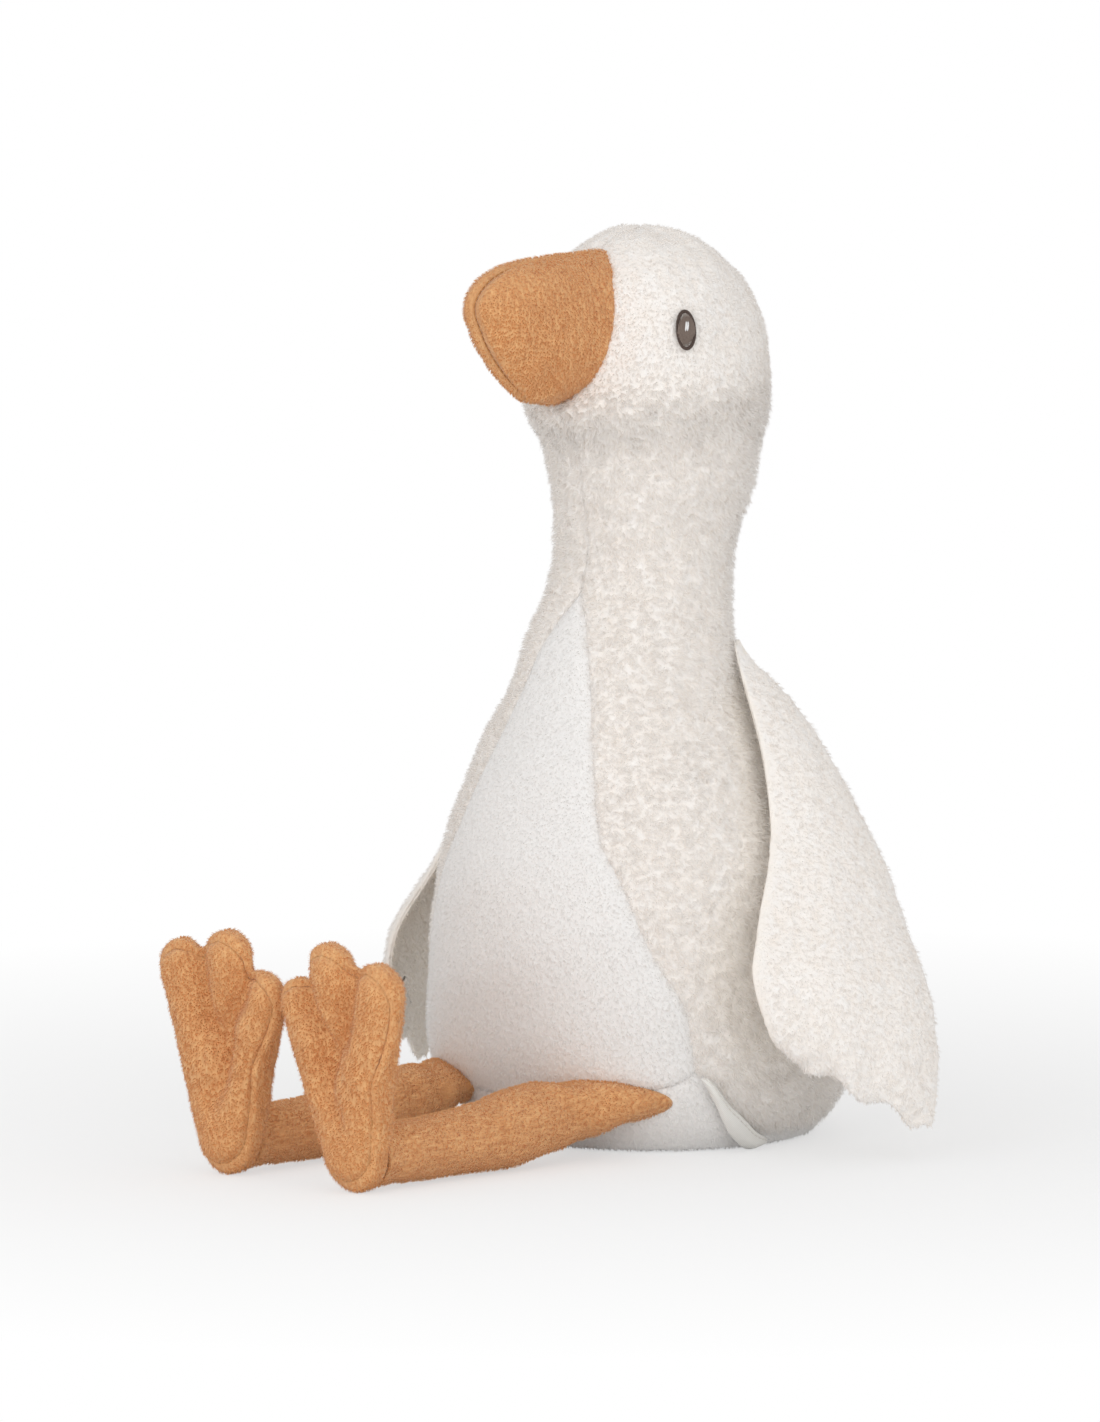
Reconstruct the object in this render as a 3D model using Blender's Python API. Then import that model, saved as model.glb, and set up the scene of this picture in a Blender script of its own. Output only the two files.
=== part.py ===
"""A seated plush goose with a soft body, two hanging wings, and a velour beak, legs and webbed feet.

Units are metres, +Z is up. The goose looks along -Y, so its own left is +X. The origin is the centre
of the flat seat that it rests on. Azimuths are degrees round the body from the front (-Y) towards the
goose's left. Left pieces are modelled and the right ones are their mirror images.
"""
from collections import namedtuple
from math import cos, degrees, hypot, pi, radians, sin, sqrt

import bmesh
import bpy
import numpy as np
from mathutils import Vector

# Cloth and clearances
LONG_PILE = 0.0028
SHORT_PILE = 0.0018
VELOUR = 0.0018
SEAM_GAP = 0.0008
REST_GAP = 0.0003
STUFFING_GAP = 0.0011
THIN_STUFFING_GAP = 0.0010

# Body: round sections from the seat up, each with its height, radius and how far back its centre lies.
# Neck and head stand on the shoulder, so each is set by its own rise
Station = namedtuple("Station", "height radius back")
SEAT_RADIUS = 0.050
SEAT_BACK = 0.005
NECK_RISE = 0.030
NAPE_RISE = 0.029
HEAD_RISE = 0.026
CROWN_RISE = 0.0475
BELLY = Station(0.049, 0.066, 0.001)
WAIST = Station(0.078, 0.063, -0.0005)
CHEST = Station(0.111, 0.0519, -0.002)
SHOULDER = Station(0.146, 0.0348, -0.0045)
NECK = Station(SHOULDER.height + NECK_RISE, 0.0287, 0.002)
NAPE = Station(NECK.height + NAPE_RISE, 0.0335, 0.005)
HEAD = Station(NAPE.height + HEAD_RISE, 0.0369, 0.005)
STATIONS = (BELLY, WAIST, CHEST, SHOULDER, NECK, NAPE, HEAD)
HEIGHT = HEAD.height + CROWN_RISE
BOTTOM_BULGE = 3.0
CROWN_BULGE = 2.2

# Seams of the body: azimuth and height of the points that each one passes
SIDE_CORNER = (57.7, 0.025)
SEAT_SEAM = ((0, 0.016), (30, 0.019), (50, 0.0215), SIDE_CORNER, (68, 0.0115), (79, 0.004), (92, 0.0025),
             (180, 0.0025))
BELLY_SEAM = (SIDE_CORNER, (56, 0.043), (47, 0.0625), (38, 0.086), (31.7, 0.098), (27, 0.1235),
              (21, 0.147), (13.4, 0.158), (0, 0.169))
NOTCH_DEPTH = 0.001
BACK_SEAM = ((125, 0.0), (118, 0.130), (118, NECK.height), (122, HEAD.height), (130, HEIGHT - 0.0165),
             (150, HEIGHT - 0.004), (180, HEIGHT - NOTCH_DEPTH))

# Beak: an oval base on the front of the head. Its seam line runs from the base's top round the tip to the
# chin, through points that give the reach as a share of the beak's length and the drop as a share of the
# base's height
BEAK_BELOW_CROWN = 0.0283
BEAK_BASE_HEIGHT = HEIGHT - BEAK_BELOW_CROWN
BEAK_BASE_HALF_WIDTH = 0.0146
BEAK_BASE_HALF_HEIGHT = 0.0222
BEAK_LENGTH = 0.0462
BEAK_PROFILE = ((0, 0), (0.50, 0.01), (0.80, 0.035), (0.94, 0.11), (1, 0.25), (0.88, 0.49), (0.75, 0.68),
                (0.56, 0.89), (0.40, 1.01), (0.15, 1.05), (0, 1))
BEAK_BULGE = 2.4

# Eyes: embroidered ovals with a small white patch
EYE_AZIMUTH = 62.2
EYE_BELOW_CROWN = 0.0292
EYE_HEIGHT = HEIGHT - EYE_BELOW_CROWN
EYE_WIDTH = 0.0065
EYE_TALL = 0.0122
GLINT_WIDTH = 0.0018
GLINT_TALL = 0.0030
GLINT_ABOVE_EYE = 0.0009
STITCH_RELIEF = 0.0010

# Wings: rows from the shoulder down, each with height, azimuth and clearance from the body at its
# front edge and then at its rear edge
WING_ROWS = (((0.147, 118, 0.0005), (0.147, 124, 0.0015)),
             ((0.134, 102, 0.0008), (0.133, 121, 0.0065)),
             ((0.117, 92, 0.0020), (0.114, 116, 0.0100)),
             ((0.098, 86, 0.0022), (0.091, 112.6, 0.0150)),
             ((0.078, 76.6, 0.0050), (0.067, 107.5, 0.0230)),
             ((0.056, 69, 0.0130), (0.043, 102, 0.0350)),
             ((0.043, 71.0, 0.0165), (0.022, 99, 0.0405)),
             ((0.036, 76.0, 0.0180), (0.0105, 96.8, 0.0455)))
WING_OUTER = 0.0032
WING_LINING = 0.0024
WING_BELLY = 0.002
WING_SCALLOPS = 3
WING_SCALLOP_DEPTH = 0.003
WING_SCALLOP_FADE = 8

# Legs: pressed flat where they are sewn to the body, then round down to the ankle
LEG_SPACING = 0.054
LEG_RADIUS = 0.0098
LEG_ROOT_OUTSET = 0.0055
LEG_ROOT_HEIGHT = 0.018
LEG_ROOT_HALF_WIDTH = 0.0155
LEG_ROOT_HALF_HEIGHT = 0.0065
LEG_ROUND_BY = 0.25
LEG_DOWN_BY = 0.45
LEG_REACH = 0.150
LEG_ROWS = 10

# Feet: three lobes run from the heel to the toe tips. Toes give the distance towards the outside, the
# height and the radius of each tip
HEEL_RADIUS = 0.011
TOES = ((-0.0150, 0.0560, 0.0084), (-0.0010, 0.0675, 0.0088), (0.0180, 0.0630, 0.0088))
FOOT_FLATNESS = 0.8
FOOT_CENTRE_HEIGHT = 0.037
WEB_HALF_THICKNESS = 0.0036
WEB_RISE = 0.005
FOOT_LEAN = 0.09
FOOT_ROLL = 0.06
ANKLE_HEIGHT = 0.0105
ANKLE_GAP = 0.0006

# Label: a tape in the seat seam, below the wing on the goose's left
LABEL_FROM = 59.5
LABEL_TO = 84.0
LABEL_BLUNTNESS = 0.97
LABEL_WIDTH = 0.008
LABEL_THICKNESS = 0.0006
LABEL_MOST_OF_SEAT = 0.7

# Points of a mesh closer than this are one point
WELD = 1e-5

COLOURS = {
    "long_pile": ((0.80, 0.76, 0.71), 0.95),
    "short_pile": ((0.84, 0.82, 0.79), 0.9),
    "lining_pile": ((0.82, 0.76, 0.70), 0.9),
    "velour": ((0.56, 0.29, 0.10), 0.85),
    "stuffing": ((0.88, 0.88, 0.88), 1.0),
    "eye_thread": ((0.08, 0.055, 0.045), 0.6),
    "glint_thread": ((0.80, 0.79, 0.77), 0.6),
    "tape": ((0.80, 0.78, 0.73), 0.8),
}


def lerp(start, end, share):
    return start + (end - start) * share


def smooth_curve(points, flat_ends=False):
    """Monotone cubic curve through (x, y) points, level at its ends where flat_ends says so."""
    xs, ys = (list(values) for values in zip(*points))
    secants = [(ys[i + 1] - ys[i]) / (xs[i + 1] - xs[i]) for i in range(len(xs) - 1)]
    slopes = [0.0 if flat_ends else secants[0]]
    for before, after in zip(secants, secants[1:]):
        slopes.append(2 * before * after / (before + after) if before * after > 0 else 0.0)
    slopes.append(0.0 if flat_ends else secants[-1])

    def value(x):
        x = min(max(x, xs[0]), xs[-1])
        i = min(int(np.searchsorted(xs, x, side="right")), len(xs) - 1) - 1
        width = xs[i + 1] - xs[i]
        t = (x - xs[i]) / width
        rise = ys[i + 1] - ys[i]
        cubic = (slopes[i] + slopes[i + 1]) * width - 2 * rise
        square = 3 * rise - (2 * slopes[i] + slopes[i + 1]) * width
        return ys[i] + t * (slopes[i] * width + t * (square + t * cubic))

    return value


def superellipse(share, bulge):
    """Height of a unit superellipse over a point at this share of its half width."""
    return max(1 - min(max(share, 0.0), 1.0) ** bulge, 0.0) ** (1 / bulge)


# The body's skin

station_radius = smooth_curve([(s.height, s.radius) for s in STATIONS], flat_ends=True)
station_back = smooth_curve([(0.0, SEAT_BACK)] + [(s.height, s.back) for s in STATIONS] + [(HEIGHT, 0.0)])
BOTTOM_DEPTH = BELLY.height / superellipse(SEAT_RADIUS / BELLY.radius, BOTTOM_BULGE)


def ring_radius(height):
    if height < BELLY.height:
        return BELLY.radius * superellipse((BELLY.height - height) / BOTTOM_DEPTH, BOTTOM_BULGE)
    if height > HEAD.height:
        return HEAD.radius * superellipse((height - HEAD.height) / (HEIGHT - HEAD.height), CROWN_BULGE)
    return station_radius(height)


def skin_point(azimuth, height, depth=0.0):
    """Point on the body at an azimuth and height, or this deep under the skin."""
    turn = radians(azimuth)
    step = WELD
    low, high = max(height - step, 0.0), min(height + step, HEIGHT)
    flare = (ring_radius(high) - ring_radius(low)) / (high - low)
    drift = (station_back(high) - station_back(low)) / (high - low)
    radius = ring_radius(height)
    if radius < step:
        return Vector((0.0, station_back(height), height - depth))
    outward = Vector((sin(turn), -cos(turn), drift * cos(turn) - flare)).normalized()
    return Vector((sin(turn) * radius, station_back(height) - cos(turn) * radius, height)) - outward * depth


def measured_climb(samples=800):
    """Heights up the skin, close together near the crown, and the length of skin climbed to each."""
    heights = [HEIGHT * sin(0.5 * pi * i / samples) for i in range(samples + 1)]
    climbs = [0.0]
    for low, high in zip(heights, heights[1:]):
        climbs.append(climbs[-1] + hypot(high - low, ring_radius(high) - ring_radius(low)))
    return heights, climbs


CLIMB_HEIGHTS, CLIMBS = measured_climb()
FULL_CLIMB = CLIMBS[-1]


def climb_to(height):
    return float(np.interp(height, CLIMB_HEIGHTS, CLIMBS))


def body_point(azimuth, climb, depth=0.0):
    """Point of the skin this far up it from the seat's edge. Below zero it lies on the flat seat."""
    if climb < 0:
        turn = radians(azimuth)
        radius = max(SEAT_RADIUS + climb, 0.0)
        return Vector((sin(turn) * radius, station_back(0.0) - cos(turn) * radius, depth))
    return skin_point(azimuth, float(np.interp(climb, CLIMBS, CLIMB_HEIGHTS)), depth)


# Seams as functions of azimuth or height

seat_seam_height = smooth_curve(SEAT_SEAM)
belly_seam_azimuth = smooth_curve([(height, azimuth) for azimuth, height in BELLY_SEAM])
back_seam_azimuth = smooth_curve([(height, azimuth) for azimuth, height in BACK_SEAM])


def gap_angle(height):
    """Azimuth that half a seam's gap takes at a height."""
    return degrees(0.5 * SEAM_GAP / max(ring_radius(height), SEAM_GAP))


def panel_place(front_edge, rear_edge, top_height):
    """Panel between two seams given as azimuth by height, from the seat seam up to a height."""
    top = climb_to(top_height)

    def place(u, v, depth):
        height = HEAD.height * v
        for _ in range(30):
            azimuth = lerp(front_edge(height), rear_edge(height), u)
            seam = climb_to(seat_seam_height(azimuth if azimuth <= 180 else 360 - azimuth))
            climb = lerp(seam + 0.5 * SEAM_GAP, top, v)
            height = float(np.interp(climb, CLIMBS, CLIMB_HEIGHTS))
        return body_point(azimuth, climb, depth)

    return place


# Mesh helpers

def unit_grid(columns, rows):
    """Grid of faces whose verts carry their place across (0 to 1) and up (0 to 1)."""
    mesh = bmesh.new()
    where = mesh.verts.layers.float_vector.new("where")
    bmesh.ops.create_grid(mesh, x_segments=columns, y_segments=rows, size=0.5)
    for vert in mesh.verts:
        vert[where] = (vert.co.x + 0.5, vert.co.y + 0.5, 0.0)
    return mesh, where


def add_object(mesh, name, material, mirrored=False):
    """Closed mesh as an object of the goose, turned over to its right side where mirrored says so."""
    if mirrored:
        for vert in mesh.verts:
            vert.co.x = -vert.co.x
    bmesh.ops.recalc_face_normals(mesh, faces=mesh.faces)
    if mesh.calc_volume(signed=True) < 0:
        bmesh.ops.reverse_faces(mesh, faces=mesh.faces)
    data = bpy.data.meshes.new(name)
    mesh.to_mesh(data)
    mesh.free()
    data.shade_smooth()
    data.set_sharp_from_angle(angle=radians(50))
    data.materials.append(materials[material])
    piece = bpy.data.objects.new(name, data)
    goose.objects.link(piece)
    return piece


def cloth(name, material, place, columns, rows, thickness, mirrored=False):
    """Sheet with its outer side at place(across, up, 0) and its inner side at place(across, up, thickness)."""
    mesh, where = unit_grid(columns, rows)
    for vert in mesh.verts:
        vert.co = place(vert[where].x, vert[where].y, 0.0)
    bmesh.ops.remove_doubles(mesh, verts=mesh.verts, dist=WELD)
    copied = bmesh.ops.extrude_face_region(mesh, geom=mesh.faces[:], use_keep_orig=True)["geom"]
    for vert in (item for item in copied if isinstance(item, bmesh.types.BMVert)):
        vert.co = place(vert[where].x, vert[where].y, thickness)
    return add_object(mesh, name, material, mirrored)


def solid(name, material, place, columns, rows, mirrored=False):
    """Closed skin at place(round, up): its first and last columns meet, and its end rows are points."""
    mesh, where = unit_grid(columns, rows)
    for vert in mesh.verts:
        vert.co = place(vert[where].x, vert[where].y)
    bmesh.ops.remove_doubles(mesh, verts=mesh.verts, dist=WELD)
    return add_object(mesh, name, material, mirrored)


def cut(target, cutter, operation="DIFFERENCE"):
    """Cut or join with a guide object, which is kept out of sight."""
    goose.objects.unlink(cutter)
    cutters.objects.link(cutter)
    cutter.hide_render = True
    cutter.display_type = "WIRE"
    boolean = target.modifiers.new("Boolean", "BOOLEAN")
    boolean.operation = operation
    boolean.object = cutter


# Body

def side_panel(name, mirrored):
    def front_edge(height):
        return max(belly_seam_azimuth(height), 0.0) + gap_angle(height)

    def rear_edge(height):
        return back_seam_azimuth(height) - gap_angle(height)

    flank = panel_place(front_edge, rear_edge, HEIGHT)

    def place(u, v, depth):
        point = flank(u, v, depth)
        point.x = max(point.x, 0.5 * SEAM_GAP)
        return point

    cloth(name, "long_pile", place, 9, 26, LONG_PILE, mirrored)


def back_panel():
    def left_edge(height):
        return back_seam_azimuth(height) + gap_angle(height)

    notch_height = HEIGHT - NOTCH_DEPTH
    place = panel_place(left_edge, lambda height: 360 - left_edge(height), notch_height - SEAM_GAP)
    cloth("back_panel", "long_pile", place, 10, 22, LONG_PILE)


def mirror_x(point):
    return Vector((-point.x, point.y, point.z))


def belly_panel():
    def left_edge(height):
        return belly_seam_azimuth(height) - gap_angle(height)

    bib = panel_place(lambda height: 0.0, left_edge, BELLY_SEAM[-1][1] - 2 * SEAM_GAP)

    def place(u, v, depth):
        point = bib(abs(2 * u - 1), v, depth)
        return point if u >= 0.5 else mirror_x(point)

    cloth("belly_panel", "short_pile", place, 8, 14, SHORT_PILE)


def seat_panel():
    flat_share = 0.4

    def place(u, v, depth):
        azimuth = 360 * u
        if v < flat_share:
            return body_point(azimuth, -SEAT_RADIUS * (1 - v / flat_share), depth)
        seam = climb_to(seat_seam_height(min(azimuth, 360 - azimuth))) - 0.5 * SEAM_GAP
        return body_point(azimuth, seam * (v - flat_share) / (1 - flat_share), depth)

    cloth("seat_panel", "short_pile", place, 28, 5, SHORT_PILE)


def body_filling():
    depth = LONG_PILE + STUFFING_GAP
    flat_rows, rows = 2, 20

    def place(u, v):
        row = v * rows
        if row < flat_rows:
            return body_point(360 * u, -SEAT_RADIUS * (1 - row / flat_rows), depth)
        return body_point(360 * u, FULL_CLIMB * (row - flat_rows) / (rows - flat_rows), depth)

    solid("body_filling", "stuffing", place, 24, rows)


# Beak

def skin_front(across, height):
    """The y of the body's front at this distance to the side and height."""
    return station_back(height) - sqrt(max(ring_radius(height) ** 2 - across ** 2, 0.0))


def beak_profile_curves():
    """Reach and drop of the beak's seam line by share of its length."""
    lengths = [0.0]
    for before, after in zip(BEAK_PROFILE, BEAK_PROFILE[1:]):
        forward, down = after[0] - before[0], after[1] - before[1]
        lengths.append(lengths[-1] + hypot(forward * BEAK_LENGTH, down * 2 * BEAK_BASE_HALF_HEIGHT))
    shares = [length / lengths[-1] for length in lengths]
    return tuple(smooth_curve([(share, point[i]) for share, point in zip(shares, BEAK_PROFILE)])
                 for i in (0, 1))


beak_reach, beak_drop = beak_profile_curves()


def beak_place(turn, along, depth):
    """Side of the beak: along runs from the base's top (0) to the chin (1), turn from base (0) to seam (1).

    The base lies on the head, and each section across the beak is a quarter superellipse.
    """
    half_height = BEAK_BASE_HALF_HEIGHT - depth
    base_x = (BEAK_BASE_HALF_WIDTH - depth) * sin(pi * along)
    base_z = BEAK_BASE_HEIGHT + half_height * cos(pi * along)
    base_y = skin_front(base_x, base_z) - REST_GAP
    edge_z = BEAK_BASE_HEIGHT + half_height * (1 - 2 * beak_drop(along))
    edge_y = skin_front(0.0, edge_z) - REST_GAP - beak_reach(along) * (BEAK_LENGTH - depth)
    angle = 0.5 * pi * turn
    out = cos(angle) ** (2 / BEAK_BULGE) if turn < 1 else 0.0
    forward = sin(angle) ** (2 / BEAK_BULGE)
    return Vector((base_x * out, lerp(base_y, edge_y, forward), lerp(base_z, edge_z, forward)))


def beak_half(name, mirrored):
    def place(u, v, depth):
        point = beak_place(u, v, depth)
        point.x = max(point.x, 0.5 * SEAM_GAP)
        return point

    cloth(name, "velour", place, 6, 14, VELOUR, mirrored)


def beak_filling():
    depth = VELOUR + THIN_STUFFING_GAP

    def place(u, v):
        side = 1 if u >= 0.5 else -1
        share = abs(2 * u - 1)
        if share >= 0.5:
            point = beak_place(2 * share - 1, v, depth)
            return Vector((side * point.x, point.y, point.z))
        edge = beak_place(0.0, v, depth)
        across = edge.x * 2 * share
        return Vector((side * across, skin_front(across, edge.z) - REST_GAP, edge.z))

    solid("beak_filling", "stuffing", place, 16, 12)


# Eyes and label

def skin_patch(azimuth, height, width, tall, relief):
    """Round patch lying on the skin, whose face stands this far out of it."""
    def place(u, v, depth):
        turn = 2 * pi * u
        level = height + 0.5 * tall * v * sin(turn)
        shift = degrees(0.5 * width * v * cos(turn) / ring_radius(height))
        return skin_point(azimuth + shift, level, depth - relief)

    return place


def eye(side, mirrored):
    base = REST_GAP
    face = base + STITCH_RELIEF
    oval = skin_patch(EYE_AZIMUTH, EYE_HEIGHT, EYE_WIDTH, EYE_TALL, face)
    cloth("eye_" + side, "eye_thread", oval, 14, 3, STITCH_RELIEF, mirrored)
    glint_relief = 0.5 * STITCH_RELIEF
    glint = skin_patch(EYE_AZIMUTH, EYE_HEIGHT + GLINT_ABOVE_EYE, GLINT_WIDTH, GLINT_TALL,
                       face + REST_GAP + glint_relief)
    cloth("eye_glint_" + side, "glint_thread", glint, 10, 2, glint_relief, mirrored)


def side_label():
    def place(u, v, depth):
        azimuth = lerp(LABEL_FROM, LABEL_TO, u)
        seam = climb_to(seat_seam_height(azimuth)) - 0.5 * SEAM_GAP
        width = LABEL_WIDTH * superellipse(LABEL_BLUNTNESS * abs(2 * u - 1), 2)
        width = min(width, LABEL_MOST_OF_SEAT * seam)
        return body_point(azimuth, seam - width * (1 - v), depth - LABEL_THICKNESS - REST_GAP)

    cloth("side_label", "tape", place, 10, 2, LABEL_THICKNESS)


# Wings

def wing_curves():
    """Height, azimuth and clearance along the front and the rear edge, by share of the way down."""
    shares = [row / (len(WING_ROWS) - 1) for row in range(len(WING_ROWS))]
    curves = []
    for edge in (0, 1):
        for value in range(3):
            curves.append(smooth_curve([(share, row[edge][value]) for share, row in zip(shares, WING_ROWS)]))
    return curves[:3], curves[3:]


def wing_surface(across, down):
    """Point of the wing's inner face: across runs from the front edge to the rear, down from the root."""
    front, rear = wing_curves()
    height, azimuth, clearance = (lerp(front[i](down), rear[i](down), across) for i in range(3))
    height -= WING_SCALLOP_DEPTH * sin(WING_SCALLOPS * pi * across) ** 2 * down ** WING_SCALLOP_FADE
    height = max(height, REST_GAP)
    clearance += WING_BELLY * sin(pi * across) * sin(pi * min(down, 1.0)) + REST_GAP
    turn = radians(azimuth)
    reach = ring_radius(height) + clearance
    return Vector((sin(turn) * reach, station_back(height) - cos(turn) * reach, height))


def wing_outward(across, down):
    """Direction out of the wing's face, away from the body."""
    step = 0.01
    over = wing_surface(min(across + step, 1), down) - wing_surface(max(across - step, 0), down)
    along = wing_surface(across, min(down + step, 1)) - wing_surface(across, max(down - step, 0))
    normal = along.cross(over)
    point = wing_surface(across, down)
    return normal.normalized() if normal.dot(Vector((point.x, point.y, 0))) > 0 else -normal.normalized()


def wing(side, mirrored):
    lining_top = WING_LINING
    outer_base = WING_LINING + REST_GAP
    outer_top = outer_base + WING_OUTER

    def lining(u, v, depth):
        return wing_surface(u, 1 - v) + wing_outward(u, 1 - v) * (lining_top - depth)

    def outer(u, v, depth):
        return wing_surface(u, 1 - v) + wing_outward(u, 1 - v) * (outer_top - depth)

    cloth("wing_lining_" + side, "lining_pile", lining, 9, 9, WING_LINING, mirrored)
    cloth("wing_outer_" + side, "long_pile", outer, 9, 9, WING_OUTER, mirrored)


# Feet and legs

def lobe_half_thickness(across, up, toe):
    """Half thickness of one stuffed lobe, a round bar that tapers from the heel to the toe's tip."""
    tip_across, tip_up, tip_radius = toe
    run = Vector((tip_across, tip_up - HEEL_RADIUS))
    offset = Vector((across, up - HEEL_RADIUS))
    share = min(max(offset.dot(run) / run.length_squared, 0.0), 1.0)
    radius = lerp(HEEL_RADIUS, tip_radius, share)
    reach = radius ** 2 - (offset - run * share).length_squared
    return FOOT_FLATNESS * sqrt(max(reach, 0.0))


def in_web(across, up):
    """Whether a place lies on the web, the fan from the heel to a line just above the toes' centres."""
    corners = [(0.0, HEEL_RADIUS)] + [(tip_across, tip_up + WEB_RISE) for tip_across, tip_up, _ in TOES]
    for i, (x, z) in enumerate(corners):
        next_x, next_z = corners[(i + 1) % len(corners)]
        if (next_x - x) * (up - z) - (next_z - z) * (across - x) > 0:
            return False
    return True


def foot_half_thickness(across, up):
    thickest = max(lobe_half_thickness(across, up, toe) for toe in TOES)
    return max(thickest, WEB_HALF_THICKNESS) if in_web(across, up) else thickest


def foot_outline(turn):
    """Distance from the foot's middle to its outline in a direction."""
    def inside(reach):
        return foot_half_thickness(reach * cos(turn), FOOT_CENTRE_HEIGHT + reach * sin(turn)) > 0

    step = 0.001
    reach = 2 * FOOT_CENTRE_HEIGHT
    while not inside(reach):
        reach -= step
    low, high = reach, reach + step
    for _ in range(12):
        middle = 0.5 * (low + high)
        low, high = (middle, high) if inside(middle) else (low, middle)
    return low


def foot_to_world(across, up, out):
    """Place on the left foot: out is along the foot's thickness, towards the leg."""
    return Vector((0.5 * LEG_SPACING + across - FOOT_ROLL * up, out - LEG_REACH - FOOT_LEAN * up, up))


def foot_face(round_share, rim_share, depth, inset, face, split):
    """Point of the stuffed foot on its sole (face -1) or upper (face 1), this far under its surface."""
    turn = 2 * pi * round_share
    outline = foot_outline(turn)
    share = sin(0.5 * pi * rim_share)
    across, up = outline * share * cos(turn), outline * share * sin(turn)
    thick = foot_half_thickness(across, FOOT_CENTRE_HEIGHT + up) if rim_share < 1 else 0.0
    shrink = (outline - inset) / outline
    return foot_to_world(across * shrink, FOOT_CENTRE_HEIGHT + up * shrink,
                         face * (max(thick - depth, 0.0) + split))


def leg_section(down, depth):
    """Centre and half sizes of the leg's section at a share of the way from the body to the foot."""
    rounding = min(down / LEG_ROUND_BY, 1.0)
    blend = rounding * rounding * (3 - 2 * rounding)
    centre_x = 0.5 * LEG_SPACING + LEG_ROOT_OUTSET * (1 - blend)
    centre_z = lerp(LEG_ROOT_HEIGHT, ANKLE_HEIGHT, min(down / LEG_DOWN_BY, 1.0))
    half_width = lerp(LEG_ROOT_HALF_WIDTH, LEG_RADIUS, blend) - depth
    half_height = lerp(LEG_ROOT_HALF_HEIGHT, LEG_RADIUS, blend) - depth
    return centre_x, centre_z, half_width, half_height


def upper_back(x, z):
    """The y of the left foot's back at a place."""
    across = x - 0.5 * LEG_SPACING + FOOT_ROLL * z
    return foot_to_world(across, z, foot_half_thickness(across, z) + 0.5 * SEAM_GAP).y


def leg_point(turn, down, depth, end_y, root_gap):
    centre_x, centre_z, half_width, half_height = leg_section(down, depth)
    x = centre_x + half_width * cos(turn)
    z = centre_z + half_height * sin(turn)
    root_y = skin_front(x, z) - root_gap
    return Vector((x, lerp(root_y, end_y(x, z), down), z))


def leg_and_foot(side, mirrored):
    def leg(u, v, depth):
        return leg_point(2 * pi * u, v, depth, lambda x, z: upper_back(x, z) + ANKLE_GAP, REST_GAP)

    def sole(u, v, depth):
        return foot_face(u, v, depth, depth, -1, 0.5 * SEAM_GAP)

    def upper(u, v, depth):
        return foot_face(u, v, depth, depth, 1, 0.5 * SEAM_GAP)

    leg_depth = VELOUR + STUFFING_GAP
    foot_depth = VELOUR + THIN_STUFFING_GAP

    def leg_core(u, v):
        length_share = (v * (LEG_ROWS + 2) - 1) / LEG_ROWS
        if -1e-6 <= length_share <= 1 + 1e-6:
            return leg_point(2 * pi * u, length_share, leg_depth, lambda x, z: -LEG_REACH, STUFFING_GAP)
        end = 0 if length_share < 0 else 1
        centre_x, centre_z, _, _ = leg_section(end, leg_depth)
        return Vector((centre_x, -LEG_REACH if end else skin_front(centre_x, centre_z) - STUFFING_GAP, centre_z))

    def foot_core(u, v):
        face = -1 if v <= 0.5 else 1
        rim_share = 1 - abs(2 * v - 1)
        return foot_face(u, rim_share, foot_depth, foot_depth, face, 0.0)

    cloth("leg_" + side, "velour", leg, 14, LEG_ROWS, VELOUR, mirrored)
    cloth("foot_sole_" + side, "velour", sole, 36, 5, VELOUR, mirrored)
    foot_upper = cloth("foot_upper_" + side, "velour", upper, 36, 5, VELOUR, mirrored)
    cut(foot_upper, ankle_cutter(side, mirrored))
    filling = solid("leg_filling_" + side, "stuffing", leg_core, 14, LEG_ROWS + 2, mirrored)
    foot_filling = solid("foot_filling_guide_" + side, "stuffing", foot_core, 36, 8, mirrored)
    cut(filling, foot_filling, "UNION")


def ankle_cutter(side, mirrored):
    """Round bar that opens the upper for the wadding of the leg."""
    radius = LEG_RADIUS - VELOUR
    bpy.ops.mesh.primitive_cylinder_add(vertices=14, radius=radius, depth=2 * HEEL_RADIUS)
    cutter = bpy.context.object
    cutter.name = "ankle_cutter_" + side
    for collection in list(cutter.users_collection):
        collection.objects.unlink(cutter)
    goose.objects.link(cutter)
    cutter.rotation_euler = (0.5 * pi, 0, 0)
    x = 0.5 * LEG_SPACING
    cutter.location = (-x if mirrored else x, -LEG_REACH + HEEL_RADIUS, ANKLE_HEIGHT)
    return cutter


def make_material(name, colour, roughness):
    material = bpy.data.materials.new(name)
    material.use_nodes = True
    shader = material.node_tree.nodes["Principled BSDF"]
    shader.inputs["Base Color"].default_value = (*colour, 1.0)
    shader.inputs["Roughness"].default_value = roughness
    shader.inputs["Metallic"].default_value = 0.0
    material.diffuse_color = (*colour, 1.0)
    return material


def build():
    for side, mirrored in (("left", False), ("right", True)):
        side_panel("side_panel_" + side, mirrored)
        beak_half("beak_" + side, mirrored)
        eye(side, mirrored)
        wing(side, mirrored)
        leg_and_foot(side, mirrored)
    back_panel()
    belly_panel()
    seat_panel()
    body_filling()
    beak_filling()
    side_label()


for old in list(bpy.data.objects):
    bpy.data.objects.remove(old, do_unlink=True)
goose = bpy.data.collections.new("plush_goose")
cutters = bpy.data.collections.new("cutters")
for group in (goose, cutters):
    bpy.context.scene.collection.children.link(group)
materials = {name: make_material(name, *look) for name, look in COLOURS.items()}
build()
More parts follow.
